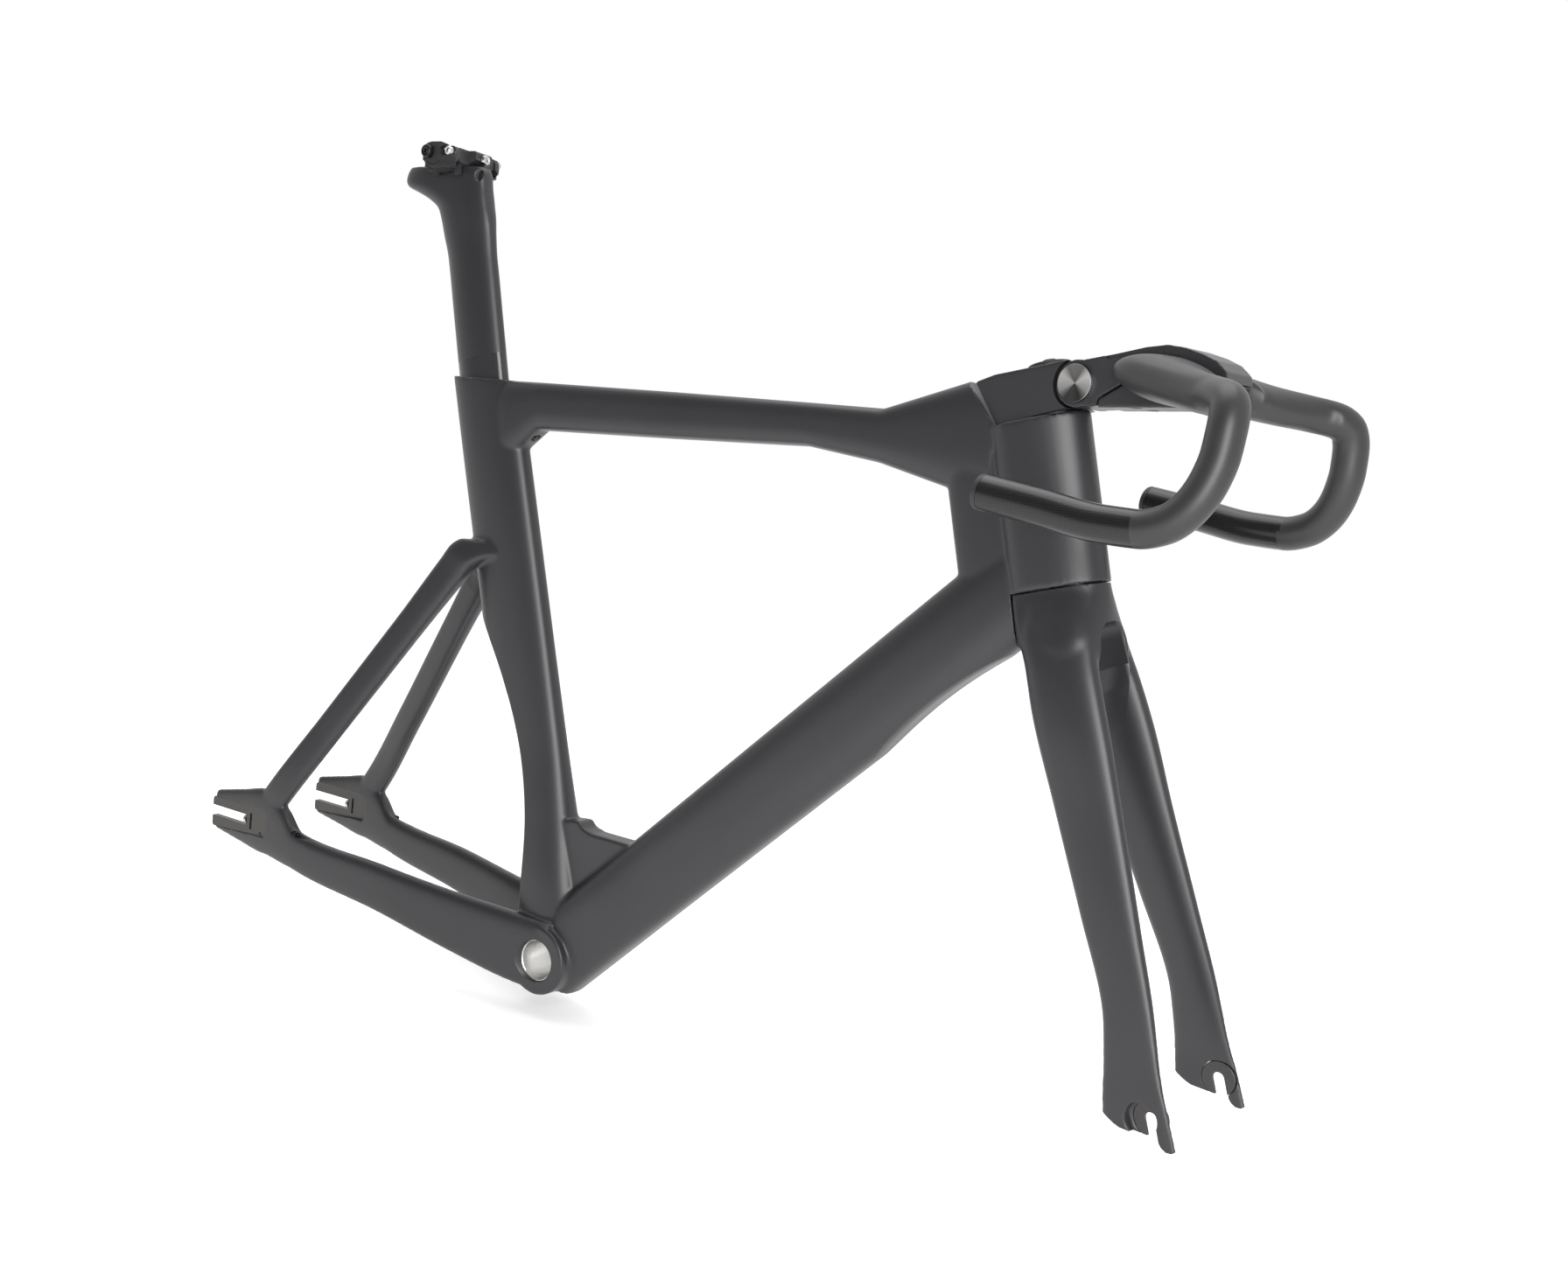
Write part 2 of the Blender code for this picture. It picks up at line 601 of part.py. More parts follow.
def bar_seat(name):
    start = Vector((BAR_CENTRE[0], -40, BAR_CENTRE[1]))
    radius = BAR_CLAMP_RADIUS + GAP
    return turned(name, start, Y, [(0, radius), (80, radius)], None, 40)


def make_stem_arm(mats, pivot):
    outline = arc(*STEM_PIVOT, 16.6, 80, 285, 14)
    outline += [(453.6, 517.4), (454.2, 522.8), (473.5, 534.4), (491, 537.6), (548, 537.6)]
    outline += [(547, 544), (539, 552), (528, 557), (515, 561.3), (502, 563), (486, 560.5), (462, 554)]
    arm = slab("stem_arm", outline, 20, 1.5, mats["carbon"])
    combine(arm, bar_seat("arm_bar_seat"))
    tongue_space = pivot_cylinder("tongue_space", -8.4, 8.4, 16.2)
    combine(arm, tongue_space)
    behind = box_cutter("arm_rear_space", Vector((420, 0, 532)), X, Y, Z, (17, 8.4, 30))
    combine(arm, behind)
    combine(arm, pivot_cylinder("axle_bore", -30, 30, 5.3, 20))
    cap_outline = [(454.6, 516.4), (526, 520), (541, 525), (547.5, 536.9), (491.5, 536.9)]
    cap_outline += [(474.2, 533.7), (455.1, 522.0)]
    cap = slab("bar_clamp_cap", cap_outline, 19.6, 0.8, mats["carbon"])
    combine(cap, bar_seat("cap_bar_seat"))
    for place, x, head_top in (("rear", 480.5, 521), ("front", 535, 528)):
        for word, side in SIDES.items():
            start = Vector((x, side * 12.5, head_top - 20))
            combine(cap, turned(f"cap_bore_{place}_{word}", start, Z, [(0, 2.8), (60, 2.8)], None, 16))
            combine(arm, turned(f"arm_bore_{place}_{word}", start, Z, [(0, 2.8), (38, 2.8)], None, 16))
            seat_start = start - Z * 2
            seat = turned(f"cap_seat_{place}_{word}", seat_start, Z, [(0, 4.5), (22, 4.5)], None, 18)
            combine(cap, seat, solver="MANIFOLD")
            profile = [(0, 4.1), (3.2, 4.1), (3.2, 2.5), (19.5, 2.5)]
            bolt_start = Vector((x, side * 12.5, head_top - 3.5))
            bolt = turned(f"bar_clamp_bolt_{place}_{word}", bolt_start, Z, profile, mats["black_steel"], 16)
            bolt.parent = pivot
    arm.parent = pivot
    cap.parent = pivot
    axle_start = Vector((STEM_PIVOT[0], -19.4, STEM_PIVOT[1]))
    axle = turned("pivot_axle", axle_start, Y, [(0, 5), (38.8, 5)], mats["silver"], 20)
    axle.parent = pivot
    for word, side in SIDES.items():
        start = Vector((STEM_PIVOT[0], side * 20.3, STEM_PIVOT[1]))
        profile = [(0, 13.4), (2.4, 13.4), (3.0, 12.6), (1.6, 0.8)]
        disc = turned(f"pivot_cap_{word}", start, Y * side, profile, mats["silver"], 40)
        disc.parent = pivot


# Handlebar ---------------------------------------------------------------------------------------


def bar_stations():
    """From the middle outwards: centre, direction, half chord, half thickness and chord tilt."""
    wing = (
        (508, 0, 537.3, 15.9, 15.9, 0),
        (508, 21, 537.3, 15.9, 15.9, 0),
        (510, 24, 537.3, 26, 15.2, -6),
        (511, 30, 536.5, 42, 15.5, -9),
        (528, 44, 530.5, 37, 14.2, -12),
        (549, 60, 524, 29, 13.2, -15),
        (567, 77, 518.5, 20.5, 12.7, -17),
    )
    stations = []
    for x, y, z, half_chord, half_thickness, tilt in wing:
        sweep = Vector((0.15 if y > 40 else 0, 1, 0))
        stations.append((Vector((x, y, z)), sweep, half_chord, half_thickness, tilt))
    drop = (
        (579, 89, 515, (0.45, 1, -0.25), 15, -14),
        (586.5, 96.5, 509, (0.35, 1, -1.1), 13, -6),
        (589.5, 100, 500.5, (0.1, 0.35, -1.4), 12.6, 0),
        (588, 101.5, 489, (-0.15, 0.1, -1), 12.3, 0),
        (583.5, 104, 475, (-0.45, 0.15, -1), 12.3, 0),
        (574, 107.5, 458.5, (-0.85, 0.2, -0.8), 12.3, 0),
        (560, 109.5, 447, (-1, 0.1, -0.42), 12.3, 0),
        (543, 110.5, 442.2, (-1, 0.05, -0.1), 12.3, 0),
        (520, 111.5, 442, (-1, 0.05, 0.05), 12.3, 0),
        (475, 113.6, 447.2, (-1, 0.05, 0.12), 12.3, 0),
        (*BAR_END, BAR_END_WAY, 12.3, 0),
    )
    for x, y, z, way, chord, tilt in drop:
        stations.append((Vector((x, y, z)), Vector(way), chord, BAR_RADIUS, tilt))
    return stations


def bar_rings(side):
    rings = []
    along = X.copy()
    for centre, way, chord, thick, tilt in bar_stations():
        way = way.normalized()
        along = (along - way * along.dot(way)).normalized()
        other = way.cross(along)
        turn = Matrix.Rotation(math.radians(tilt), 3, -way)
        u, v = turn @ along, turn @ other
        points = ring(centre, u, v, chord, chord, thick, 2.0, sides=24)
        rings.append([Vector((p.x, p.y * side, p.z)) for p in points])
    return rings


def make_handlebar(mats, pivot):
    right, left = bar_rings(-1), bar_rings(1)
    bar = loft("handlebar", list(reversed(right[1:])) + left, mats["carbon"])
    for word, side in SIDES.items():
        tip = Vector((BAR_END[0], side * BAR_END[1], BAR_END[2]))
        way = Vector((BAR_END_WAY[0], side * BAR_END_WAY[1], BAR_END_WAY[2])).normalized()
        combine(bar, turned(f"bar_bore_{word}", tip + way * 10, -way, [(0, 9.6), (42, 9.6)], None, 24))
        profile = [(0, 9.2), (24.35, 9.2), (24.5, 12.1), (27.5, 12.1), (28.6, 11.0)]
        plug = turned(f"bar_end_plug_{word}", tip - way * 24, way, profile, mats["black_plastic"], 24)
        plug.parent = pivot
    bar.parent = pivot


# Seatpost and saddle clamp -----------------------------------------------------------------------


def make_seatpost(mats):
    rings = post_rings(0, (POST_BOTTOM, 505, 620))
    head_sections = (
        (640, -219.5, -156.5, 12.6, 2.2),
        (655, -224.5, -161, 12.9, 2.5),
        (664, -238, -163.5, 13, 2.8),
        (672, -261, -166, 13, 3.0),
        (677, -269, -167.3, 13, 3.2),
        (686, -268, -169, 12.7, 3.2),
        (691.8, -264.5, -172.5, 11.6, 3.2),
    )
    for z, rear, front, half, power in head_sections:
        reach = (front - rear) / 2
        rings.append(ring(Vector(((rear + front) / 2, 0, z)), X, Y, reach, reach, half, power, sides=28))
    post = loft("seatpost", rings, mats["carbon"])
    start = Vector((CLAMP_TILT[0], -30, CLAMP_TILT[1]))
    combine(post, turned("rocker_trough", start, Y, [(0, 60.4), (60, 60.4)], None, 64))
    combine(post, turned("front_head_hole", Vector((-175.5, -30, 681.5)), Y, [(0, 4.4), (60, 4.4)], None, 20))
    hole_start = Vector((-174, -30, 684.5))
    combine(post, turned("front_head_hole_top", hole_start, Y, [(0, 3.8), (60, 3.8)], None, 20))


def make_seat_wedge(mats):
    wedge = [(-114.8, 457), (-107.2, 457), (-107.2, 488), (-119.5, 488)]
    body = prism("seatpost_wedge", wedge, -7.9, 7.9, mats["dark_metal"])
    trim = loft("wedge_post_trim", post_rings(GAP, (POST_BOTTOM - 8, 520)), None)
    combine(body, trim)
    combine(body, wedge_bolt_hole("wedge_thread", 2.8, 10, 60))
    profile = [(0, 2.5), (22, 2.5)]
    bolt_start = WEDGE_BOLT_HEAD + WEDGE_BOLT_AXIS * 9
    bolt = turned("seatpost_wedge_bolt", bolt_start, WEDGE_BOLT_AXIS, profile, mats["black_steel"], 16)
    socket_start = bolt_start - WEDGE_BOLT_AXIS * 2
    combine(bolt, turned("wedge_bolt_socket", socket_start, WEDGE_BOLT_AXIS, [(0, 1.5), (6, 1.5)], None, 6))


RAIL_HALF_SPACING, RAIL_HEIGHT, RAIL_RADIUS = 22.0, 691.3, 3.6
CLAMP_BOLTS = (("rear", -218.0, 700.3, 5.8), ("front", -190.5, 700.2, 3.8))  # X, Z and head radius
CRADLE_HALF = 21.7
JAW_INNER, JAW_OUTER = 22.3, 27.0
BLOCK_FACE = -177.0  # front face of the cradle's narrow nose
BLOCK_BOLT_HEIGHT = 698.5


def rail_groove(name, side):
    start = Vector((-270, side * RAIL_HALF_SPACING, RAIL_HEIGHT))
    return turned(name, start, X, [(0, RAIL_RADIUS), (110, RAIL_RADIUS)], None, 16)


def make_cradle(mats):
    """The rocker under the rails: wide over its rear two thirds, with a narrow nose."""
    bottom_start, bottom_end = 253.5, 302.0
    outline = arc(*CLAMP_TILT, 60.0, bottom_start, bottom_end, 14)
    outline += [(BLOCK_FACE, 697), (BLOCK_FACE, 703), (-179, 704.5), (-191, 704.5), (-200, 703.5), (-209, 705)]
    outline += [(-217, 707), (-227, 706), (-232, 701), (-232, 692)]
    cradle = prism("saddle_cradle", outline, -CRADLE_HALF, CRADLE_HALF, mats["black_steel"])
    for word, side in SIDES.items():
        trim = box_cutter(f"nose_trim_{word}", Vector((-150, side * 30, 695)), X, Y, Z, (36, 20, 30))
        combine(cradle, trim)
        for x in (-219, -193):
            tab = box_cutter(f"cradle_tab_{word}_{-x}", Vector((x, side * 15.4, 690)), X, Y, Z, (3, 1.6, 7.5))
            combine(cradle, tab, "UNION")
        combine(cradle, rail_groove(f"rail_groove_{word}", side))
    bore_start = Vector((BLOCK_FACE - 11, 0, BLOCK_BOLT_HEIGHT))
    return combine(cradle, turned("block_bolt_bore", bore_start, X, [(0, 2.8), (30, 2.8)], None, 14))


def make_rail_jaw(mats, word, side):
    outline = [(-216, 686.5), (-225.5, 694), (-227, 702), (-223, 708), (-217, 709.5), (-204, 709.3), (-198, 707)]
    outline += [(-204.5, 704), (-204, 699.5), (-200.5, 696.3), (-197, 698), (-195.5, 703.5), (-190.5, 705.5)]
    outline += [(-184, 704.5), (-178.5, 700.5), (-177.5, 693), (-182, 687)]
    jaw = side_prism(f"rail_jaw_{word}", outline, JAW_INNER, JAW_OUTER, side, mats["black_steel"])
    return combine(jaw, rail_groove(f"jaw_groove_{word}", side))


def make_saddle_clamp(mats):
    """A rocker on the post's head, two outer jaws for the saddle rails and two cross bolts."""
    clamped = [make_cradle(mats)]
    clamped += [make_rail_jaw(mats, word, side) for word, side in SIDES.items()]
    for place, x, z, head_radius in CLAMP_BOLTS:
        bore_start = Vector((x, -50, z))
        for piece in clamped:
            bore = turned(f"{piece.name}_bore_{place}", bore_start, Y, [(0, 2.8), (100, 2.8)], None, 16)
            combine(piece, bore)
        head_start = Vector((x, -JAW_OUTER - 5.8, z))
        profile = [(0, head_radius - 1), (1.2, head_radius), (5.5, head_radius), (5.5, 2.5), (65, 2.5)]
        material = mats["black_steel"] if place == "rear" else mats["silver"]
        bolt = turned(f"rail_clamp_bolt_{place}", head_start, Y, profile, material, 20)
        combine(bolt, turned(f"rail_bolt_socket_{place}", head_start - Y * 2, Y, [(0, 2), (5, 2)], None, 6))
        nut_start = Vector((x, JAW_OUTER + 0.3, z))
        tube_ring(f"rail_clamp_nut_{place}", nut_start, Y, 4, 2.8, 4.6, mats["silver"], 20)
    block_bolt_start = Vector((BLOCK_FACE - 9.7, 0, BLOCK_BOLT_HEIGHT))
    profile = [(0, 2.5), (10, 2.5), (10, 4.3), (13.2, 4.3), (14, 3.6)]
    block_bolt = turned("rail_block_bolt", block_bolt_start, X, profile, mats["silver"], 18)
    socket_start = block_bolt_start + X * 11.5
    combine(block_bolt, turned("rail_block_bolt_socket", socket_start, X, [(0, 2), (8, 2)], None, 6))


def main():
    clear_scene()
    mats = make_materials()
    make_head_tube(mats)
    make_top_tube(mats)
    make_down_tube(mats)
    make_seat_tube(mats)
    make_bottom_bracket(mats)
    for word, side in SIDES.items():
        make_chainstay(mats, word, side)
        make_dropout(mats, word, side)
        make_seatstay(mats, word, side)
    make_seat_wedge(mats)
    make_seatpost(mats)
    make_saddle_clamp(mats)
    steering = bpy.data.objects.new("steering_axis", None)
    bpy.context.scene.collection.objects.link(steering)
    make_fork(mats, steering)
    make_headset(mats, steering)
    make_stem_clamp(mats, steering)
    make_stem_arm(mats, steering)
    make_handlebar(mats, steering)
    turn_steering(steering)


def turn_steering(steering):
    """Turns everything that steers about the head axis, cutters included."""
    centre = head(0, 0) * MM
    turn = Matrix.Rotation(STEER_AT_REST, 4, UPWARD)
    steering.matrix_world = Matrix.Translation(centre) @ turn @ Matrix.Translation(-centre)
    for part in list(steering.children):
        for modifier in part.modifiers:
            if modifier.object:
                modifier.object.parent = steering


main()
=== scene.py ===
"""Looks of the aero track frameset: seamless painted skins, machined metal, lights and camera.

Lengths are in millimetres until a mesh is made. The origin is the bottom bracket, +X is forward, +Y is left.
"""

import math

import bmesh
import bpy
import numpy as np
from mathutils import Matrix, Vector


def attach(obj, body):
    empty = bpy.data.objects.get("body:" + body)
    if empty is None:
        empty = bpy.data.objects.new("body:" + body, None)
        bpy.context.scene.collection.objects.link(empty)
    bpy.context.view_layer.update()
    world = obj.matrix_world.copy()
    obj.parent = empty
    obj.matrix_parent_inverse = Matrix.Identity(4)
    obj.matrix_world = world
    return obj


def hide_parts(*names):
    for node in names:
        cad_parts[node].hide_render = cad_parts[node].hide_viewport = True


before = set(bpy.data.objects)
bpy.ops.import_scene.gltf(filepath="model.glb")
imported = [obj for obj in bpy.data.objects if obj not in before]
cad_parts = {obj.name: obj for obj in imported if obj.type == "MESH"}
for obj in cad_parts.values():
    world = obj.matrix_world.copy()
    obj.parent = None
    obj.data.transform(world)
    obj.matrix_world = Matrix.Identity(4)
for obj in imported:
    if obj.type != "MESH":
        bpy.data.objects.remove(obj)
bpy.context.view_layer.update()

MM = 0.001
X, Y, Z = Vector((1, 0, 0)), Vector((0, 1, 0)), Vector((0, 0, 1))
SIDES = {"right": -1, "left": 1}

# Driving dimensions, the same as the solids'
HEAD_ANGLE = math.radians(74.6)
SEAT_ANGLE = math.radians(76.0)
HEAD_POINT = (424.0, 460.5)
HEAD_TOP, HEAD_BOTTOM, HEAD_RADIUS = 50.0, -73.0, 24.0
STEER_AT_REST = math.radians(-8.5)
REAR_AXLE, FRONT_AXLE = (-385.0, 55.5), (577.0, 48.5)
WHEEL_CLEARANCE_REAR, WHEEL_CLEARANCE_FRONT = 351.0, 337.0
TOP_TUBE_TOP = 504.0
SHELL_HALF, SHELL_RADIUS, SHELL_BORE = 34.0, 31.0, 17.0
POST_TOP_CENTRE, POST_DEPTH, POST_WIDTH = (-154.0, 505.0), 28.7, 12.2
STEERER_RADIUS = 14.3
STEM_PIVOT = (436.0, 532.0)
BAR_CENTRE, BAR_CLAMP_RADIUS, BAR_RADIUS = (508.0, 537.3), 15.9, 12.3
BAR_END, BAR_END_WAY = (434.0, 115.6, 452.5), (-0.989, 0.048, 0.14)  # left open end, its direction
TOW_REPEAT = 0.003  # metres from one carbon tow to the next
CLAMP_TILT = (-215.0, 745.0)

FORWARD = Vector((math.sin(HEAD_ANGLE), 0, math.cos(HEAD_ANGLE)))
UPWARD = Vector((-math.cos(HEAD_ANGLE), 0, math.sin(HEAD_ANGLE)))


def head(p, q, y=0.0):
    """A point p ahead of the steering axis and q up along it."""
    return Vector((HEAD_POINT[0], y, HEAD_POINT[1])) + p * FORWARD + q * UPWARD


STEER = (
    Matrix.Translation(head(0, 0) * MM)
    @ Matrix.Rotation(STEER_AT_REST, 4, UPWARD)
    @ Matrix.Translation(head(0, 0) * -MM)
)


# Mesh helpers ------------


def arc(cx, cz, radius, start, end, steps):
    turns = [math.radians(start + (end - start) * k / steps) for k in range(steps + 1)]
    return [(cx + radius * math.cos(t), cz + radius * math.sin(t)) for t in turns]


def eased(rows, spacing=4.0):
    """Rows of numbers, the first three a centre, filled in with a smooth curve that never overshoots."""
    rows = np.array(rows, float)
    steps = np.linalg.norm(np.diff(rows[:, :3], axis=0), axis=1)
    at = np.concatenate([[0], np.cumsum(steps)])
    slopes = np.diff(rows, axis=0) / steps[:, None]
    ends = np.zeros_like(rows)
    ends[0], ends[-1] = slopes[0], slopes[-1]
    before, after = slopes[:-1], slopes[1:]
    same = before * after > 0
    w1 = (2 * steps[1:] + steps[:-1])[:, None]
    w2 = (steps[1:] + 2 * steps[:-1])[:, None]
    with np.errstate(divide="ignore", invalid="ignore"):
        ends[1:-1] = np.where(same, (w1 + w2) / (w1 / before + w2 / after), 0)
    filled = []
    for i, length in enumerate(steps):
        count = max(1, round(length / spacing))
        for k in range(count):
            t = k / count
            a, b, c, d = 2 * t**3 - 3 * t**2 + 1, t**3 - 2 * t**2 + t, 3 * t**2 - 2 * t**3, t**3 - t**2
            filled.append(a * rows[i] + b * length * ends[i] + c * rows[i + 1] + d * length * ends[i + 1])
    filled.append(rows[-1])
    return np.array(filled).tolist()


def wave(value, power):
    return math.copysign(abs(value) ** (2 / power), value)


def ring(centre, u, v, front, back, half, power=2.0, sides=96):
    points = []
    for k in range(sides):
        angle = 2 * math.pi * (k + 0.5) / sides
        along, side = math.cos(angle), math.sin(angle)
        reach = front if along >= 0 else back
        points.append(centre + u * reach * wave(along, power) + v * half * wave(side, power))
    return points


def solid(name, points, faces, material=None, sharp=35):
    """A closed mesh from points in millimetres, faces outward."""
    data = bpy.data.meshes.new(name)
    shape = bmesh.new()
    corners = [shape.verts.new(p * MM) for p in points]
    for face in faces:
        shape.faces.new([corners[i] for i in face])
    bmesh.ops.recalc_face_normals(shape, faces=shape.faces)
    shape.to_mesh(data)
    shape.free()
    data.shade_smooth()
    data.set_sharp_from_angle(angle=math.radians(sharp))
    made = bpy.data.objects.new(name, data)
    bpy.context.scene.collection.objects.link(made)
    if material:
        data.materials.append(material)
    return made


def loft(name, rings, material=None, closed=False, sharp=35):
    count = len(rings[0])
    points = [p for outline in rings for p in outline]
    faces = []
    for i in range(len(rings) if closed else len(rings) - 1):
        here, there = i * count, (i + 1) % len(rings) * count
        for k in range(count):
            nxt = (k + 1) % count
            faces.append((here + k, here + nxt, there + nxt, there + k))
    if not closed:
        faces.append(tuple(range(count)))
        faces.append(tuple(range(len(points) - count, len(points))))
    return solid(name, points, faces, material, sharp)


def turned(name, start, axis, profile, material=None, sides=96, sharp=35):
    """A round piece: profile holds (distance along the axis, radius), and a ring ends where it starts."""
    axis = axis.normalized()
    u = axis.cross(Y) if abs(axis.dot(Y)) < 0.9 else axis.cross(X)
    u.normalize()
    v = axis.cross(u)
    rings = [ring(start + axis * along, u, v, r, r, r, sides=sides) for along, r in profile]
    hollow = profile[0] == profile[-1]
    return loft(name, rings[:-1] if hollow else rings, material, hollow, sharp)


def prism(name, outline, low, high, material=None):
    return loft(name, [[Vector((x, y, z)) for x, z in outline] for y in (low, high)], material)


def side_prism(name, outline, inner, outer, side, material=None):
    low, high = sorted((side * inner, side * outer))
    return prism(name, outline, low, high, material)


def box(name, centre, sizes, u=X, v=Y, w=Z):
    a, b, c = sizes
    corners = ((-1, -1), (1, -1), (1, 1), (-1, 1))
    rings = [[centre + u * i * a + v * j * b + w * k * c for i, j in corners] for k in (-1, 1)]
    return loft(name, rings)


def finished(obj):
    """The object's mesh with its modifiers applied."""
    graph = bpy.context.evaluated_depsgraph_get()
    data = bpy.data.meshes.new_from_object(obj.evaluated_get(graph))
    obj.modifiers.clear()
    obj.data = data
    return obj


def combined(target, pieces, operation="DIFFERENCE"):
    """Cuts or joins pieces, then removes them."""
    for piece in pieces:
        modifier = target.modifiers.new("cut", "BOOLEAN")
        modifier.object = piece
        modifier.operation = operation
        modifier.solver = "MANIFOLD"
    finished(target)
    one_material(target.data)
    for piece in pieces:
        bpy.data.objects.remove(piece)
    return target


def one_material(data):
    """A cutter brings an empty slot with it: every face goes back to the first material."""
    first = data.materials[0] if len(data.materials) else None
    data.materials.clear()
    if first:
        data.materials.append(first)
    data.polygons.foreach_set("material_index", np.zeros(len(data.polygons), np.int32))


def remeshed(obj, size, smooth=0, factor=0.5):
    """One even skin over everything in the object, its edges softened by the smoothing."""
    modifier = obj.modifiers.new("skin", "REMESH")
    modifier.mode = "VOXEL"
    modifier.voxel_size = size * MM
    modifier.use_smooth_shade = True
    if smooth:
        soften = obj.modifiers.new("soften", "SMOOTH")
        soften.factor = factor
        soften.iterations = smooth
    return finished(obj)


def joined(name, pieces, material):
    """Several closed meshes held in one object."""
    data = bpy.data.meshes.new(name)
    shape = bmesh.new()
    for piece in pieces:
        shape.from_mesh(piece.data)
        bpy.data.objects.remove(piece)
    shape.to_mesh(data)
    shape.free()
    data.materials.append(material)
    made = bpy.data.objects.new(name, data)
    bpy.context.scene.collection.objects.link(made)
    return made


def turn_mesh(obj, matrix=STEER):
    obj.data.transform(matrix)
    return obj


def place(obj, body, nodes, slot):
    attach(obj, body)
    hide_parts(*nodes)
    return obj


# Materials ---------------


class Recipe:
    """A Principled material with short ways to add nodes."""

    def __init__(self, name, colour, roughness, metallic=0.0):
        self.material = bpy.data.materials.new(name)
        self.material.use_nodes = True
        self.nodes = self.material.node_tree.nodes
        self.links = self.material.node_tree.links
        self.shader = self.nodes["Principled BSDF"]
        self.place = self.add("ShaderNodeTexCoord").outputs["Object"]
        self.set("Base Color", (*colour, 1))
        self.set("Roughness", roughness)
        self.set("Metallic", metallic)

    def set(self, socket, value):
        self.shader.inputs[socket].default_value = value

    def add(self, kind, **settings):
        node = self.nodes.new(kind)
        for key, value in settings.items():
            setattr(node, key, value)
        return node

    def noise(self, scale, detail=3.0, stretch=None, roughness=0.5):
        node = self.add("ShaderNodeTexNoise")
        node.inputs["Scale"].default_value = scale
        node.inputs["Detail"].default_value = detail
        node.inputs["Roughness"].default_value = roughness
        source = self.place
        if stretch:
            mapping = self.add("ShaderNodeMapping")
            mapping.inputs["Scale"].default_value = stretch
            self.links.new(source, mapping.inputs["Vector"])
            source = mapping.outputs["Vector"]
        self.links.new(source, node.inputs["Vector"])
        return node.outputs["Fac"]

    def spread(self, value, low, high, start=0.3, end=0.7):
        node = self.add("ShaderNodeMapRange")
        node.inputs["From Min"].default_value = start
        node.inputs["From Max"].default_value = end
        node.inputs["To Min"].default_value = low
        node.inputs["To Max"].default_value = high
        self.links.new(value, node.inputs["Value"])
        return node.outputs["Result"]

    def mix(self, factor, first, second):
        node = self.add("ShaderNodeMix", data_type="RGBA")
        self.links.new(factor, node.inputs["Factor"])
        node.inputs[6].default_value = (*first, 1)
        node.inputs[7].default_value = (*second, 1)
        return node.outputs[2]

    def math(self, kind, first, second):
        node = self.add("ShaderNodeMath", operation=kind)
        for slot, value in zip(node.inputs, (first, second)):
            if isinstance(value, (int, float)):
                slot.default_value = value
            else:
                self.links.new(value, slot)
        return node.outputs[0]

    def to(self, value, socket):
        self.links.new(value, self.shader.inputs[socket])

    def bump(self, height, distance, strength=1.0, chain=None):
        node = self.add("ShaderNodeBump")
        node.inputs["Strength"].default_value = strength
        node.inputs["Distance"].default_value = distance
        self.links.new(height, node.inputs["Height"])
        if chain:
            self.links.new(chain, node.inputs["Normal"])
        self.links.new(node.outputs["Normal"], self.shader.inputs["Normal"])
        return node.outputs["Normal"]


PAINT = (0.0180, 0.0175, 0.0200)


def satin_paint(name, colour=PAINT, roughness=0.39):
    """Satin charcoal paint: fine grain, faint orange peel, and a slow drift in tone."""
    made = Recipe(name, colour, roughness)
    drift = made.noise(9, 4)
    deep = tuple(c * 0.93 for c in colour)
    pale = tuple(c * 1.07 for c in colour)
    made.to(made.mix(made.spread(drift, 0, 1), deep, pale), "Base Color")
    grain = made.noise(2600, 2)
    made.to(made.spread(grain, roughness - 0.035, roughness + 0.035), "Roughness")
    peel = made.bump(made.noise(420, 2), 0.00003, 0.35)
    made.bump(grain, 0.000012, 0.5, peel)
    made.set("Specular IOR Level", 0.5)
    made.set("Coat Weight", 0.12)
    made.set("Coat Roughness", 0.3)
    return made.material


def gloss_weave(name):
    """Clear-coated carbon cloth, whose crossing tows catch the light in turn."""
    made = Recipe(name, (0.006, 0.006, 0.0065), 0.34)
    split = made.add("ShaderNodeSeparateXYZ")
    made.links.new(made.place, split.inputs[0])
    per_metre = 2 * math.pi / TOW_REPEAT
    rising = made.math("ADD", split.outputs["X"], split.outputs["Z"])
    falling = made.math("SUBTRACT", split.outputs["X"], split.outputs["Z"])
    first = made.math("MULTIPLY", rising, per_metre)
    second = made.math("MULTIPLY", falling, per_metre)
    lift = made.math("MULTIPLY", made.math("SINE", first, 0.0), made.math("SINE", second, 0.0))
    fibres = made.noise(1500, 2, (1, 1, 1))
    tows = made.math("ADD", made.math("MULTIPLY", lift, 0.5), made.math("MULTIPLY", fibres, 0.4))
    share = made.spread(tows, 0, 1, -0.1, 0.6)
    made.to(made.mix(share, (0.003, 0.003, 0.0035), (0.014, 0.014, 0.015)), "Base Color")
    made.bump(tows, 0.00012, 0.5)
    made.set("Specular IOR Level", 0.25)
    made.set("Coat Weight", 0.45)
    made.set("Coat Roughness", 0.12)
    return made.material


def machined(name, colour, roughness, scale=900, stretch=(1, 1, 1), metallic=1.0):
    made = Recipe(name, colour, roughness, metallic)
    marks = made.noise(scale, 4, stretch)
    dark = tuple(c * 0.82 for c in colour)
    made.to(made.mix(made.spread(marks, 0, 1), dark, colour), "Base Color")
    made.to(made.spread(marks, roughness * 0.8, roughness * 1.25), "Roughness")
    made.bump(marks, 0.00002, 0.4)
    return made.material


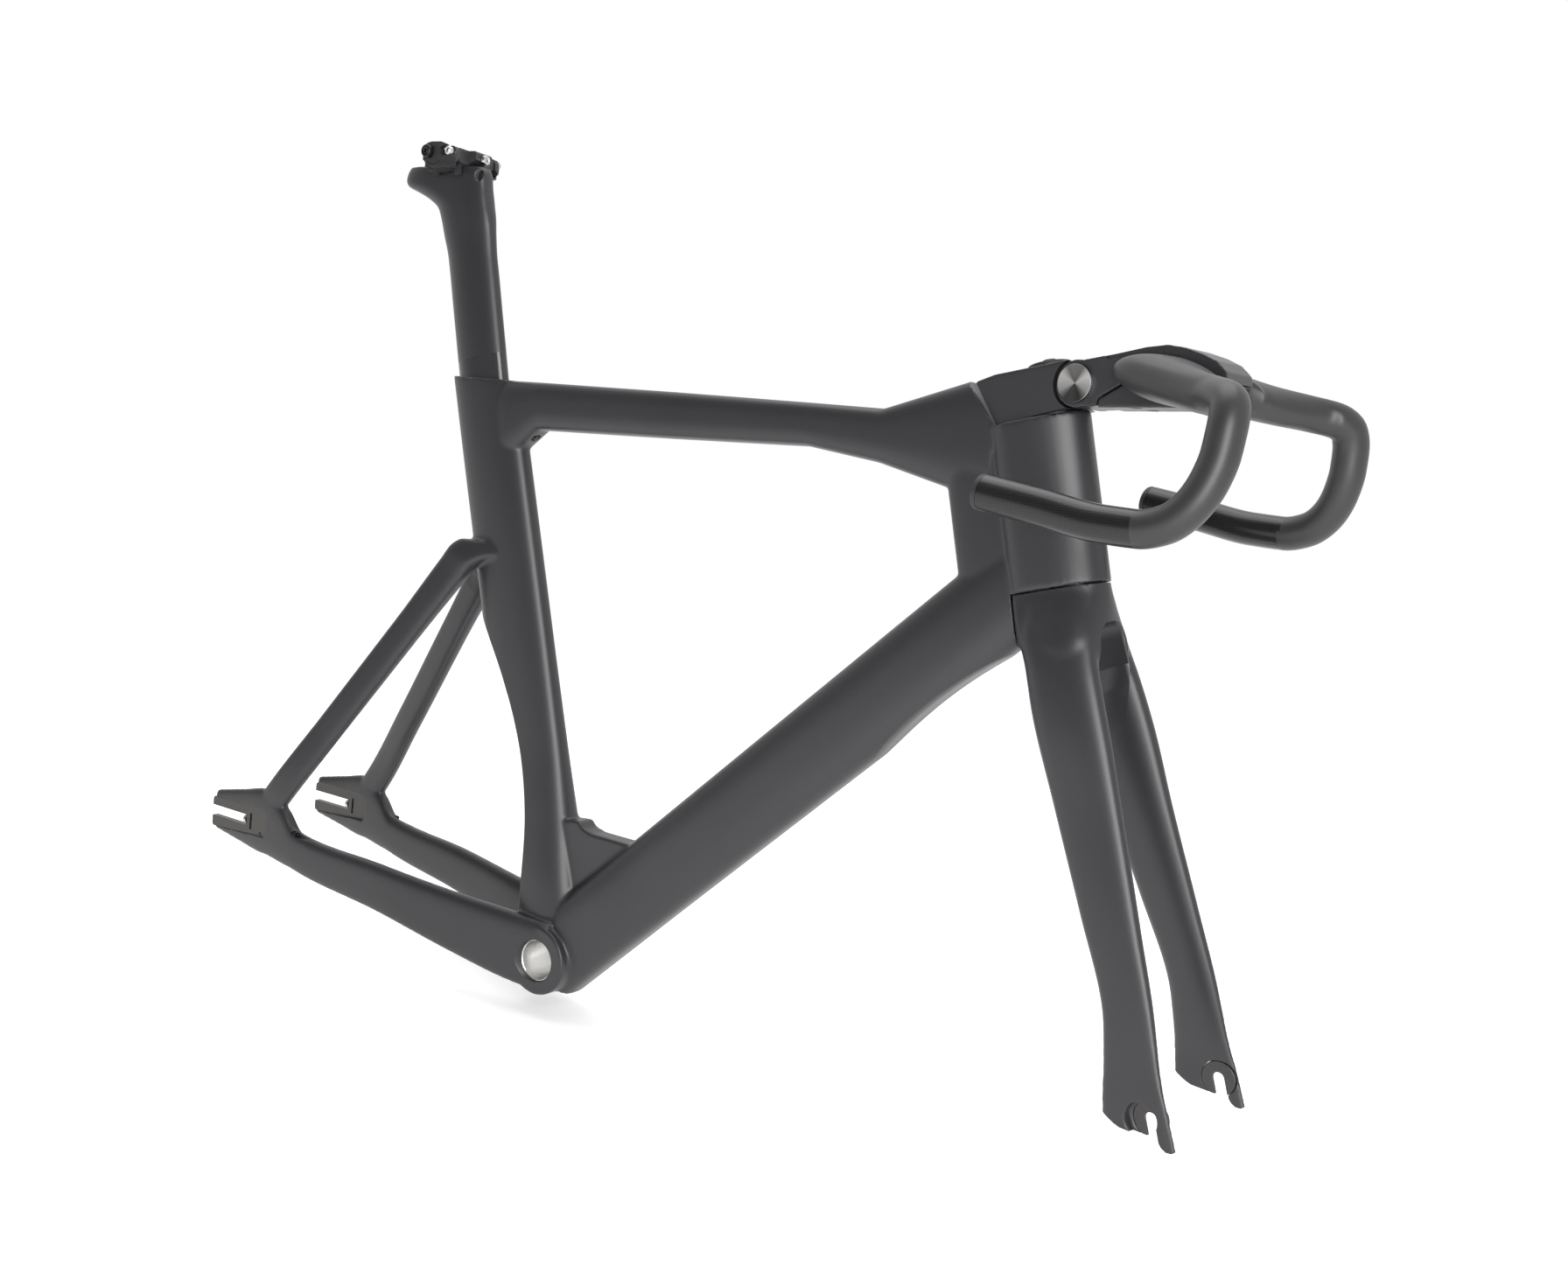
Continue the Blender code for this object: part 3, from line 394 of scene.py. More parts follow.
def spun_metal(name, colour, roughness=0.3):
    """Lathe-turned metal: fine rings about the piece's own Z axis, which stretch its highlights, and a
    painted bow-tie highlight: two opposite sectors round that axis lighter in the base colour, the two
    between darker.
    """
    made = Recipe(name, colour, roughness, 1.0)
    split = made.add("ShaderNodeSeparateXYZ")
    made.links.new(made.place, split.inputs[0])
    flat = made.add("ShaderNodeCombineXYZ")
    made.links.new(split.outputs["X"], flat.inputs["X"])
    made.links.new(split.outputs["Y"], flat.inputs["Y"])
    radius = made.add("ShaderNodeVectorMath", operation="LENGTH")
    made.links.new(flat.outputs[0], radius.inputs[0])
    rings = made.add("ShaderNodeTexNoise")
    rings.noise_dimensions = "1D"
    rings.inputs["Scale"].default_value = 4200
    rings.inputs["Detail"].default_value = 2
    made.links.new(radius.outputs["Value"], rings.inputs["W"])
    angle = made.math("ARCTAN2", split.outputs["Y"], split.outputs["X"])
    # painted bow-tie highlight: lighter base colour in two opposite sectors round Z, darker between, standing
    # in for the reflection on a turned face
    painted_bowtie_highlight = made.spread(made.math("COSINE", made.math("MULTIPLY", angle, 2), 0), 0.12, 1.0, -0.5, 0.6)
    # the turning rings' tone multiplied by the painted bow-tie highlight
    turning_rings_and_painted_bowtie = made.math("MULTIPLY", painted_bowtie_highlight, made.spread(rings.outputs["Fac"], 0.8, 1.0))
    made.to(made.mix(turning_rings_and_painted_bowtie, tuple(c * 0.1 for c in colour), colour), "Base Color")
    made.bump(rings.outputs["Fac"], 0.00002, 0.35)
    made.set("Anisotropic", 0.85)
    tangent = made.add("ShaderNodeTangent", direction_type="RADIAL", axis="Z")
    made.links.new(tangent.outputs[0], made.shader.inputs["Tangent"])
    return made.material


def moulded(name, colour, roughness):
    made = Recipe(name, colour, roughness)
    grain = made.noise(1400, 3)
    made.to(made.spread(grain, roughness - 0.06, roughness + 0.06), "Roughness")
    made.to(made.mix(made.spread(grain, 0, 1), tuple(c * 0.8 for c in colour), colour), "Base Color")
    made.bump(grain, 0.00004, 0.5)
    return made.material


paint = satin_paint("satin_charcoal_paint")
fork_paint = satin_paint("satin_charcoal_fork")
bar_paint = satin_paint("satin_charcoal_bar", (0.0190, 0.0182, 0.0196), 0.43)
weave = gloss_weave("gloss_carbon_weave")
clear_band = moulded("gloss_clear_band", (0.030, 0.030, 0.032), 0.16)
plate_metal = machined("dark_anodised_plate", (0.10, 0.097, 0.092), 0.38, 700, (1, 1, 6))
tip_metal = machined("grey_tip_plate", (0.085, 0.082, 0.082), 0.42, 800)
black_oxide = machined("black_oxide_steel", (0.028, 0.028, 0.03), 0.36, 1100, metallic=0.9)
bright = machined("bright_steel", (0.62, 0.62, 0.61), 0.2, 1300)
# spun aluminium whose base colour carries a painted bow-tie highlight
spun_silver_with_painted_bowtie = spun_metal("spun_aluminium_painted_bowtie", (0.60, 0.59, 0.58))
polished_sleeve = machined("turned_sleeve", (0.80, 0.79, 0.77), 0.3, 700, (0.2, 4, 0.2))
bearing_metal = machined("ground_bearing_steel", (0.05, 0.05, 0.052), 0.5, 1500)
black_plastic = moulded("black_plastic", (0.018, 0.018, 0.019), 0.5)
cast_black = moulded("cast_black", (0.030, 0.028, 0.030), 0.38)


# Frame skin --------------


def seat_tube_rings(grow=0.0, low=-8.0, high=TOP_TUBE_TOP):
    rows = []
    for z, half in ((low, 27), (60, 25), (125, 19.5), (190, 16), (300, 15), (430, 15), (high, 14.5)):
        rear = -188.5 + (TOP_TUBE_TOP - z) * 0.2867
        front = -94.0 + (445 - z) * 0.2962
        rows.append(((rear + front) / 2, 0, z, (front - rear) / 2 + grow, half + grow))
    return [ring(Vector((x, 0, z)), X, Y, reach, reach, half, 2.3) for x, _, z, reach, half in eased(rows)]


def post_axis_point(z):
    return Vector((POST_TOP_CENTRE[0] - (z - POST_TOP_CENTRE[1]) / math.tan(SEAT_ANGLE), 0, z))


def post_rings(grow, levels):
    deep, wide = POST_DEPTH + grow, POST_WIDTH + grow
    return [ring(post_axis_point(z), X, Y, deep, deep, wide) for z in levels]


def head_tube_rings():
    """Widest towards the rear, then one long curve round the nose."""
    widest, steps = -26, 30
    return [
        ring(head(widest, HEAD_BOTTOM + (HEAD_TOP - HEAD_BOTTOM) * k / steps), FORWARD, Y, 51.5, 24, 25, 2.15)
        for k in range(steps + 1)
    ]


def web_rings():
    return [ring(head(-58, q), FORWARD, Y, 30, 31, 17, 3.6) for q in (HEAD_BOTTOM, HEAD_TOP)]


def top_tube_rings():
    rows = [(x, 0, (low + top) / 2, (top - low) / 2, half, 3.4) for x, low, top, half in (
        (-130, 416, 504, 13), (-112, 432, 504, 14), (-76, 462.5, 504.4, 14), (70, 466.5, 505.2, 14),
        (205, 471, 505.2, 14.5), (272, 463.5, 505, 16), (342, 448, 529.5, 17.5), (372, 444, 540, 18.5))]
    rings = []
    for first, second in zip(rows[:-1], rows[1:]):
        for k in range(24):
            x, _, z, reach, half, power = (a + (b - a) * k / 24 for a, b in zip(first, second))
            rings.append(ring(Vector((x, 0, z)), Z, Y, reach, reach, half, power))
    return rings


def down_tube_rings():
    along = Vector((math.cos(math.radians(43.8)), 0, math.sin(math.radians(43.8))))
    up = Vector((-along.z, 0, along.x))
    rows = [(t, 0, 0, half) for t, half in ((-8, 27), (70, 25), (150, 21.5), (400, 21), (500, 20), (575, 18))]
    return [ring(along * t + up * -0.4, up, Y, 36.7, 36.7, half, 2.7) for t, _, _, half in eased(rows)]


def chainstay_rings(side):
    rows = []
    for x, low, high, y, half in (
        (-406, 37, 76, 62.6, 3.9), (-368, 31, 84, 62.4, 4.6), (-332, 26, 91, 61.6, 6.2),
        (-306, 22.5, 77, 60.8, 6.8), (-286, 19.5, 57, 60, 7), (-180, 4.5, 48.5, 52.5, 7.5),
        (-95, -13.5, 41, 41.5, 8), (-28, -25.5, 37, 32, 9), (8, -30, 34, 24, 9),
    ):
        rows.append((x, side * y, (low + high) / 2, (high - low) / 2, half))
    return [ring(Vector((x, y, z)), Z, Y, reach, reach, half, 3.4) for x, y, z, reach, half in eased(rows)]


def seatstay_rings(side):
    up = Vector((-0.817, 0, 0.577))
    rows = [
        (-338, 62, 63, 15, 5), (-319, 61, 88, 15, 6), (-263.5, 48.5, 167, 14.5, 6.5),
        (-193, 31, 269, 14.5, 7.5), (-150.5, 21, 330, 15.8, 8.5), (-140.5, 18.5, 344, 16, 9),
        (-127, 12.5, 352, 16, 9), (-110, 6, 355, 15, 9),
    ]
    return [
        ring(Vector((x, side * y, z)), up, Y, deep, deep, half, 3.4) for x, y, z, deep, half in eased(rows)
    ]


def wheel_cutter(name, axle, radius, half, round_by=6.0):
    third = round_by / 3
    profile = [(-half, radius - round_by), (-half + third, radius - third), (-half + round_by, radius)]
    profile += [(half - round_by, radius), (half - third, radius - third), (half, radius - round_by)]
    return turned(name, Vector((axle[0], 0, axle[1])), Y, profile, sides=360)


def steering_cylinder(name, low, high, radius, top_radius=None):
    return turned(name, head(0, low), UPWARD, [(0, radius), (high - low, top_radius or radius)], sides=128)


PLATE_OUTLINE = [(-408, 39.6), (-330, 44.2), (-326.6, 48), (-326.6, 66), (-330, 69.9), (-408, 69.9)]


FRAME_NODES = (
    "head_tube", "top_tube", "down_tube", "seat_tube", "bottom_bracket_shell",
    "chainstay_left", "chainstay_right", "seatstay_left", "seatstay_right",
)


def frame_forms():
    """The tubes and stays before they are blended into one skin."""
    shell = [(0, SHELL_RADIUS - 1), (1, SHELL_RADIUS), (67, SHELL_RADIUS), (68, SHELL_RADIUS - 1)]
    gusset = [(-4, 40), (-4, 124), (14, 126), (20, 120.5), (30, 118), (76, 117.5), (92, 122), (60, 60)]
    pieces = [
        loft("seat_tube_form", seat_tube_rings()),
        loft("head_tube_form", head_tube_rings()),
        loft("web_form", web_rings()),
        loft("top_tube_form", top_tube_rings()),
        loft("down_tube_form", down_tube_rings()),
        turned("shell_form", Vector((0, -SHELL_HALF, 0)), Y, shell),
        prism("gusset_form", gusset, -10, 10),
    ]
    for side in SIDES.values():
        pieces.append(loft("chainstay_form", chainstay_rings(side)))
        stay = loft("seatstay_form", seatstay_rings(side))
        pieces.append(combined(stay, [box("stay_top", Vector((-130, 0, 382)), (60, 60, 24))]))
    return pieces


def frame_cutters():
    """Wheel spaces, bearing seats, bores and pockets."""
    across = Vector((0, -50, 0))
    low_cut = wheel_cutter("rear_wheel_space", REAR_AXLE, WHEEL_CLEARANCE_REAR, 29, 1.5)
    split = 225.0  # above this height the stays come in beside the wheel, so its space is narrower
    cutters = [
        combined(low_cut, [box("above", Vector((-200, 0, split + 150)), (300, 60, 150))]),
        wheel_cutter("rear_wheel_gap", REAR_AXLE, WHEEL_CLEARANCE_REAR, 16.3, 1.5),
        wheel_cutter("front_wheel_space", FRONT_AXLE, WHEEL_CLEARANCE_FRONT - 2, 60, 1.5),
        steering_cylinder("crown_recess", -170, HEAD_BOTTOM, 48.0),
        steering_cylinder("stem_sweep", HEAD_TOP, 110, 45, 70.4),
        steering_cylinder("head_bore", HEAD_BOTTOM - 20, HEAD_TOP + 20, 17.0),
        steering_cylinder("lower_seat", HEAD_BOTTOM - 20, HEAD_BOTTOM + 8, 20.5),
        steering_cylinder("upper_seat", HEAD_TOP - 9, HEAD_TOP + 20, 20.5),
        loft("post_socket", post_rings(0.3, (384, 540))),
        box("seat_top_trim", Vector((-150, 0, TOP_TUBE_TOP + 20)), (50, 40, 20)),
        turned("shell_bore", across, Y, [(0, 18.7), (100, 18.7)]),
        box("wedge_pocket", Vector((-115, 0, 473)), (8.4, 8.3, 20)),
        turned("wedge_access", Vector((-47, 0, 427)), Vector((-0.8, 0, 0.6)), [(0, 4.6), (76, 4.6)]),
    ]
    for side in SIDES.values():
        cutters.append(side_prism("plate_pocket", grown(PLATE_OUTLINE, 0.4), 45, 75, side))
        cutters.append(side_prism("axle_way", [(-420, 48), (-352, 48), (-352, 63), (-420, 63)], 45, 75, side))
        start = Vector((-362, side * 63.2, REAR_AXLE[1]))
        cutters.append(turned("screw_bore", start, X, [(0, 2.9), (110, 2.9)], sides=32))
    return cutters


def grown(outline, by):
    mid_x = sum(x for x, _ in outline) / len(outline)
    mid_z = sum(z for _, z in outline) / len(outline)
    return [(x + math.copysign(by, x - mid_x), z + math.copysign(by, z - mid_z)) for x, z in outline]


def make_frame():
    skin = joined("frame_skin", frame_forms(), paint)
    remeshed(skin, 1.6, 6, 0.6)
    combined(skin, frame_cutters())
    place(skin, "frame", FRAME_NODES, "carbon")


def make_sleeve():
    """The bored metal sleeve, set 2 mm inside the faces of the bottom bracket."""
    profile = [(0, 17.6), (0, 18.1), (0.3, 18.4), (63.7, 18.4), (64, 18.1), (64, 17.6), (63.4, 17.0)]
    profile += [(50, 17.0), (49.5, 17.25), (14.5, 17.25), (14, 17.0), (0.6, 17.0), (0, 17.6)]
    sleeve = turned("bracket_sleeve", Vector((0, -32, 0)), Y, profile, polished_sleeve, 128)
    place(sleeve, "frame", ["bottom_bracket_sleeve"], "silver")


def rounded(outline, radius, steps=5):
    """The outline with every corner rounded."""
    points = [Vector(p) for p in outline]
    made = []
    for before, corner, after in zip([points[-1]] + points[:-1], points, points[1:] + [points[0]]):
        first, second = (before - corner), (after - corner)
        reach = min(radius, first.length * 0.45, second.length * 0.45)
        a, b = corner + first.normalized() * reach, corner + second.normalized() * reach
        for k in range(steps + 1):
            t = k / steps
            made.append(tuple(a * (1 - t) ** 2 + corner * 2 * t * (1 - t) + b * t**2))
    return made


def softened(obj, width=0.35, segments=3, angle=30):
    """Small rounded edges on a crisp piece."""
    modifier = obj.modifiers.new("edges", "BEVEL")
    modifier.width = width * MM
    modifier.segments = segments
    modifier.limit_method = "ANGLE"
    modifier.angle_limit = math.radians(angle)
    modifier.harden_normals = True
    return finished(obj)


def make_dropout(word, side):
    """A steel-faced plate with the axle slot, its rim rounded, and the chain tensioner's screw."""
    plate = side_prism(f"axle_plate_{word}", rounded(PLATE_OUTLINE, 4), 60, 66.4, side, plate_metal)
    slot = [(-420, 50.2), (-356.5, 50.2), (-356.5, 60.8), (-420, 60.8)]
    slit = [(-351.5, 47.5), (-348.6, 47.5), (-348.6, 63.5), (-351.5, 63.5)]
    start = Vector((-372, side * 63.2, REAR_AXLE[1]))
    combined(plate, [
        side_prism("slot", slot, 50, 75, side),
        side_prism("slit_outside", slit, 65.0, 75, side),
        side_prism("slit_inside", slit, 50, 61.2, side),
        turned("bore", start, X, [(0, 2.9), (60, 2.9)], sides=32),
        turned("dimple", Vector((-335, side * 65.6, 46.3)), Y * side, [(0, 1.4), (4, 2.2)], sides=32),
    ])
    softened(plate, 0.4)
    place(plate, "frame", [f"dropout_plate_{word}"], "dark_metal")
    start = Vector((-363.5, side * 63.2, REAR_AXLE[1]))
    threads = [(8 + k * 0.5, 2.5 - 0.3 * (k % 2)) for k in range(128)]
    profile = [(0, 1.6), (0.5, 2.6), (3.2, 4.4), (5.4, 4.6), (6.2, 4.2), (6.3, 2.3)] + threads
    profile += [(72, 2.5), (77.3, 2.5), (77.9, 2.1)]
    screw = turned(f"tensioner_screw_{word}", start, X, profile, black_oxide, 48)
    combined(screw, [turned("socket", start + X * 74, X, [(0, 1.4), (6, 1.4)], sides=6)])
    tip_faces(screw, start.x * MM, (start.x + 6.25) * MM, bright)
    place(screw, f"chain_tensioner_{word}", [f"chain_tensioner_screw_{word}"], "black_steel")


def tip_faces(obj, low, high, material):
    """Gives the faces whose middle X lies between low and high another material."""
    obj.data.materials.append(material)
    for face in obj.data.polygons:
        if low <= face.center.x <= high:
            face.material_index = 1


# Seatpost and rail clamp ---


def make_seatpost():
    rows = []
    for z in (392, 440, 480, 505, 560, 610):
        centre = post_axis_point(z)
        rows.append((centre.x, 0, z, POST_DEPTH, POST_WIDTH, 2.0))
    head_rows = (
        (632, -217, -156, 12.4, 2.1), (646, -221.5, -158.6, 12.8, 2.3), (655, -225.5, -161.2, 12.9, 2.5),
        (661, -233.5, -163, 13, 2.7), (666, -243.5, -164.5, 13, 2.9), (671, -256.5, -165.8, 13, 3.0),
        (675, -266.5, -166.8, 13, 3.1), (679, -269.2, -167.6, 13, 3.2), (686, -268, -169, 12.7, 3.2),
        (691.8, -264.5, -172.5, 11.6, 3.2),
    )
    for z, rear, front, half, power in head_rows:
        rows.append(((rear + front) / 2, 0, z, (front - rear) / 2, half, power))
    rings = [
        ring(Vector((x, 0, z)), X, Y, reach, reach, half, power)
        for x, _, z, reach, half, power in eased(rows, 3)
    ]
    post = joined("aero_seatpost", [loft("post_form", rings)], paint)
    remeshed(post, 1.3, 6, 0.5)
    tilt = Vector((CLAMP_TILT[0], -30, CLAMP_TILT[1]))
    combined(post, [
        turned("rocker_trough", tilt, Y, [(0, 60.4), (60, 60.4)], sides=256),
        box("post_end", Vector((-140, 0, 380)), (60, 30, 12.5)),
        loft("front_eye", [
            ring(Vector((-173.4, y, 683.5)), X, Z, reach, reach, tall) for y, reach, tall in
            ((-30, 4.1, 6.0), (-12.6, 4.1, 6.0), (-11.4, 3.5, 5.3), (11.4, 3.5, 5.3), (12.6, 4.1, 6.0),
             (30, 4.1, 6.0))
        ]),
    ])
    band_faces(post, clear_band)
    place(post, "seatpost", ["seatpost"], "carbon")


def band_faces(post, material):
    """The clear-coated band where the post leaves the seat tube."""
    post.data.materials.append(material)
    along = Vector((-1 / math.tan(SEAT_ANGLE), 0, 1)).normalized()
    for face in post.data.polygons:
        height = (face.center / MM - Vector((POST_TOP_CENTRE[0], 0, POST_TOP_CENTRE[1]))).dot(along)
        if -30 < height < 17.5:
            face.material_index = 1


RAIL_HALF_SPACING, RAIL_HEIGHT = 22.0, 691.3
CLAMP_BOLTS = (("rear", -218.0, 700.3, 5.8), ("front", -190.5, 700.2, 3.8))
CRADLE_HALF, JAW_INNER, JAW_OUTER = 21.7, 22.3, 27.0
BLOCK_FACE, BLOCK_BOLT_HEIGHT = -177.0, 698.5


def rail_tool(name, side, radius=3.6):
    start = Vector((-270, side * RAIL_HALF_SPACING, RAIL_HEIGHT))
    return turned(name, start, X, [(0, radius), (110, radius)], sides=48)


def clamp_bores():
    return [
        turned("cross_bore", Vector((x, -50, z)), Y, [(0, 2.8), (100, 2.8)], sides=40)
        for _, x, z, _ in CLAMP_BOLTS
    ]


def make_saddle_clamp():
    outline = arc(*CLAMP_TILT, 60.0, 253.5, 302.0, 40)
    outline += [(BLOCK_FACE, 697), (BLOCK_FACE, 703), (-179, 704.5), (-191, 704.5), (-200, 703.5)]
    outline += [(-209, 705), (-217, 707), (-227, 706), (-232, 701), (-232, 692)]
    cradle = prism("rail_cradle", outline, -CRADLE_HALF, CRADLE_HALF, cast_black)
    combined(cradle, [box("trim", Vector((-150, side * 30, 695)), (36, 20, 30)) for side in SIDES.values()])
    tabs = [
        box("tab", Vector((x, side * 15.4, 690)), (3, 1.6, 7.5))
        for side in SIDES.values() for x in (-219, -193)
    ]
    combined(cradle, tabs, "UNION")
    cuts = [rail_tool("groove", side) for side in SIDES.values()] + clamp_bores()
    bore_start = Vector((BLOCK_FACE - 11, 0, BLOCK_BOLT_HEIGHT))
    cuts.append(turned("block_bore", bore_start, X, [(0, 2.8), (30, 2.8)], sides=32))
    combined(cradle, cuts)
    softened(cradle, 0.7)
    place(cradle, "saddle_clamp", ["saddle_cradle"], "black_steel")
    for word, side in SIDES.items():
        make_jaw(word, side)
    for where, x, z, head_radius in CLAMP_BOLTS:
        make_cross_bolt(where, x, z, head_radius)
    profile = [(0, 2.5), (10, 2.5), (10, 3.9), (10.4, 4.3), (13.1, 4.3), (13.8, 3.9), (14, 3.4)]
    screw_start = Vector((BLOCK_FACE - 9.7, 0, BLOCK_BOLT_HEIGHT))
    bolt = turned("rail_block_screw", screw_start, X, profile, bright, 64)
    socket_start = Vector((BLOCK_FACE + 1.8, 0, BLOCK_BOLT_HEIGHT))
    combined(bolt, [turned("socket", socket_start, X, [(0, 2), (8, 2)], sides=6)])
    place(bolt, "saddle_clamp", ["rail_block_bolt"], "silver")


def make_jaw(word, side):
    outline = [(-216, 686.5), (-225.5, 694), (-227, 702), (-223, 708), (-217, 709.5), (-204, 709.3)]
    outline += [(-198, 707), (-206, 704), (-206, 699.5), (-201, 696.3), (-197, 698)]
    outline += [(-195.5, 703.5), (-190.5, 705.5)]
    outline += [(-186.5, 704.5), (-184.5, 700.5), (-184, 693), (-187, 687)]
    outline = rounded(outline, 1.6, 4)
    jaw = side_prism(f"outer_rail_jaw_{word}", outline, JAW_INNER, JAW_OUTER, side, cast_black)
    hollow = [(-212, 690), (-222, 692), (-214, 688.8), (-186, 688.8), (-183, 691.5), (-206, 692.5)]
    cuts = [rail_tool("groove", side), side_prism("pocket", rounded(hollow, 0.8), 26.0, 40, side)]
    combined(jaw, cuts + clamp_bores())
    softened(jaw, 0.6)
    place(jaw, "saddle_clamp", [f"rail_jaw_{word}"], "black_steel")


def make_cross_bolt(where, x, z, radius):
    profile = [(0, radius - 1.2), (0.5, radius - 0.5), (1.4, radius), (5.1, radius), (5.5, radius - 0.4)]
    threads = [(51 + k * 0.5, 2.5 - 0.25 * (k % 2)) for k in range(27)]
    profile += [(5.5, 2.5), (50, 2.5)] + threads + [(65, 2.2)]
    finish, slot = (black_oxide, "black_steel") if where == "rear" else (bright, "silver")
    start = Vector((x, -JAW_OUTER - 5.8, z))
    bolt = turned(f"cross_bolt_{where}", start, Y, profile, finish, 64)
    combined(bolt, [turned("socket", start - Y * 2, Y, [(0, 2), (5, 2)], sides=6)])
    place(bolt, "saddle_clamp", [f"rail_clamp_bolt_{where}"], slot)
    ring_profile = [(0, 2.8), (0, 4.2), (0.4, 4.6), (3.6, 4.6), (4, 4.2), (4, 2.8), (0, 2.8)]
    nut = turned(f"cross_nut_{where}", Vector((x, JAW_OUTER + 0.3, z)), Y, ring_profile, bright, 64)
    place(nut, "saddle_clamp", [f"rail_clamp_nut_{where}"], "silver")


# Fork --------------------

TIP_DOWN = Vector((0.33, 0, -0.944)).normalized()


def blade_rings(side):
    sections = (
        (380, 411, 464, 4, 24), (368, 413.5, 470, 6, 29.5), (350, 417, 478, 11, 35.8),
        (330, 427, 486.5, 15.5, 40), (300, 438.8, 499.2, 19.5, 43.8),
        (240, 467, 521.5, 26, 46.5), (170, 501.5, 548, 34.5, 51.5), (111, 529.5, 570, 42, 55),
        (80, 536, 580, 46.5, 56.5),
        (50, 540, 592.5, 50, 57.5), (24, 544, 603, 50, 57.5),
    )
    rows = []
    for z, rear, front, near, far in sections:
        rows.append(((rear + front) / 2, side * (near + far) / 2, z, (front - rear) / 2, (far - near) / 2))
    shift = 0.38  # how far behind the middle a blade is widest, as a share of its half depth
    return [
        ring(Vector((x - shift * reach, y, z)), X, Y, reach * (1 + shift), reach * (1 - shift), half, 2.25)
        for x, y, z, reach, half in eased(rows)
    ]


def crown_rings():
    rows = [
        (0, 0, q, p, front, back, half, power) for q, p, front, back, half, power in (
            (-66, -24, 49.5, 22, 25, 2.15), (-73.8, -24, 49.5, 22, 25, 2.15), (-88, -20, 46, 26, 29, 2.25),
            (-103, -13, 39.5, 32.5, 34, 2.4), (-116, -9, 36.5, 33, 37, 2.5), (-124, -8, 35, 31, 37.5, 2.5),
            (-138, -8, 31, 26, 36.5, 2.5), (-154, -7, 25, 19, 32, 2.5))
    ]
    return [
        ring(head(p, q), FORWARD, Y, front, back, half, power)
        for _, _, q, p, front, back, half, power in eased(rows, 2)
    ]


def axle_slot(name, side, width, inner, outer):
    across = Vector((-TIP_DOWN.z, 0, TIP_DOWN.x))
    middle = Vector((FRONT_AXLE[0], 0, FRONT_AXLE[1]))
    outline = []
    for k in range(25):
        turn = math.pi * k / 24
        outline.append(middle + across * width * math.cos(turn) - TIP_DOWN * width * math.sin(turn))
    outline += [middle + TIP_DOWN * 60 - across * width, middle + TIP_DOWN * 60 + across * width]
    return side_prism(name, [(p.x, p.z) for p in outline], inner, outer, side)


def tip_trim(name, side):
    outline = [(500, 10), (500, 62), (539, 43.5), (552, 38.2), (557, 36.8), (571, 36.6), (582, 36.8)]
    outline += [(586.4, 36.2), (588.5, 33.6), (592, 31.6), (596, 31.7), (599, 34), (601, 38)]
    outline += [(640, 40), (640, 10)]
    return side_prism(name, outline, 40, 70, side)


def make_fork():
    forms = [loft("crown_form", crown_rings())] + [loft("blade_form", blade_rings(s)) for s in SIDES.values()]
    widths = ((-66, 23.5), (-80, 26), (-112, 34))
    heel = loft("crown_heel", [ring(head(-24, q), FORWARD, Y, 8, 36, half, 5) for q, half in widths])
    forms.append(combined(heel, [steering_cylinder("heel_round", -130, -60, 46.9)], "INTERSECT"))
    fork = joined("fork_skin", forms, fork_paint)
    remeshed(fork, 1.4, 16, 0.6)
    axle = Vector((FRONT_AXLE[0], 0, FRONT_AXLE[1]))
    arch = [(-21.5, 306), (-20, 313), (-18, 325), (-14.5, 332), (-9.5, 336), (0, 337), (9.5, 336)]
    arch += [(14.5, 332), (18, 325), (20, 313), (21.5, 306)]
    cutters = [
        turned("fork_arch", axle, Y, arch, sides=360),
        steering_cylinder("crown_top", -73.8, -40, 60.0),
        steering_cylinder("steerer_socket", -92.3, -60, STEERER_RADIUS + 0.3),
    ]
    for side in SIDES.values():
        cutters.append(tip_trim("tip_trim", side))
        start = Vector((FRONT_AXLE[0], side * 45, FRONT_AXLE[1]))
        cutters.append(turned("tip_bore", start, Y * side, [(0, 13.3), (8, 13.3)]))
        recess = Vector((571.5, side * 52.7, 47))
        cutters.append(turned("tip_recess", recess, Y * side, [(0, 11.6), (0.6, 12), (20, 14)]))
        cutters.append(axle_slot("blade_slot", side, 4.9, 40, 70))
    combined(fork, cutters)
    place(turn_mesh(fork), "steering", ["fork"], "carbon")
    for word, side in SIDES.items():
        start = Vector((FRONT_AXLE[0], side * 50, FRONT_AXLE[1]))
        profile = [(0, 12.6), (0.4, 13), (2.3, 13), (2.7, 12.6)]
        plate = turned(f"tip_plate_{word}", start, Y * side, profile, tip_metal)
        combined(plate, [axle_slot("slot", side, 4.7, 45, 60), tip_trim("trim", side)])
        softened(plate, 0.4)
        place(turn_mesh(plate), "steering", [f"fork_tip_plate_{word}"], "dark_metal")


# Stem --------------------


def pivot_cylinder(name, inner, outer, radius):
    start = Vector((STEM_PIVOT[0], inner, STEM_PIVOT[1]))
    return turned(name, start, Y, [(0, radius), (outer - inner, radius)], sides=128)


def soft_slab(name, outline, half, material, smooth=9):
    """A side outline with a width, its edges rounded over."""
    slab = joined(name, [prism("slab", outline, -half, half)], material)
    return remeshed(slab, 0.8, smooth, 0.6)


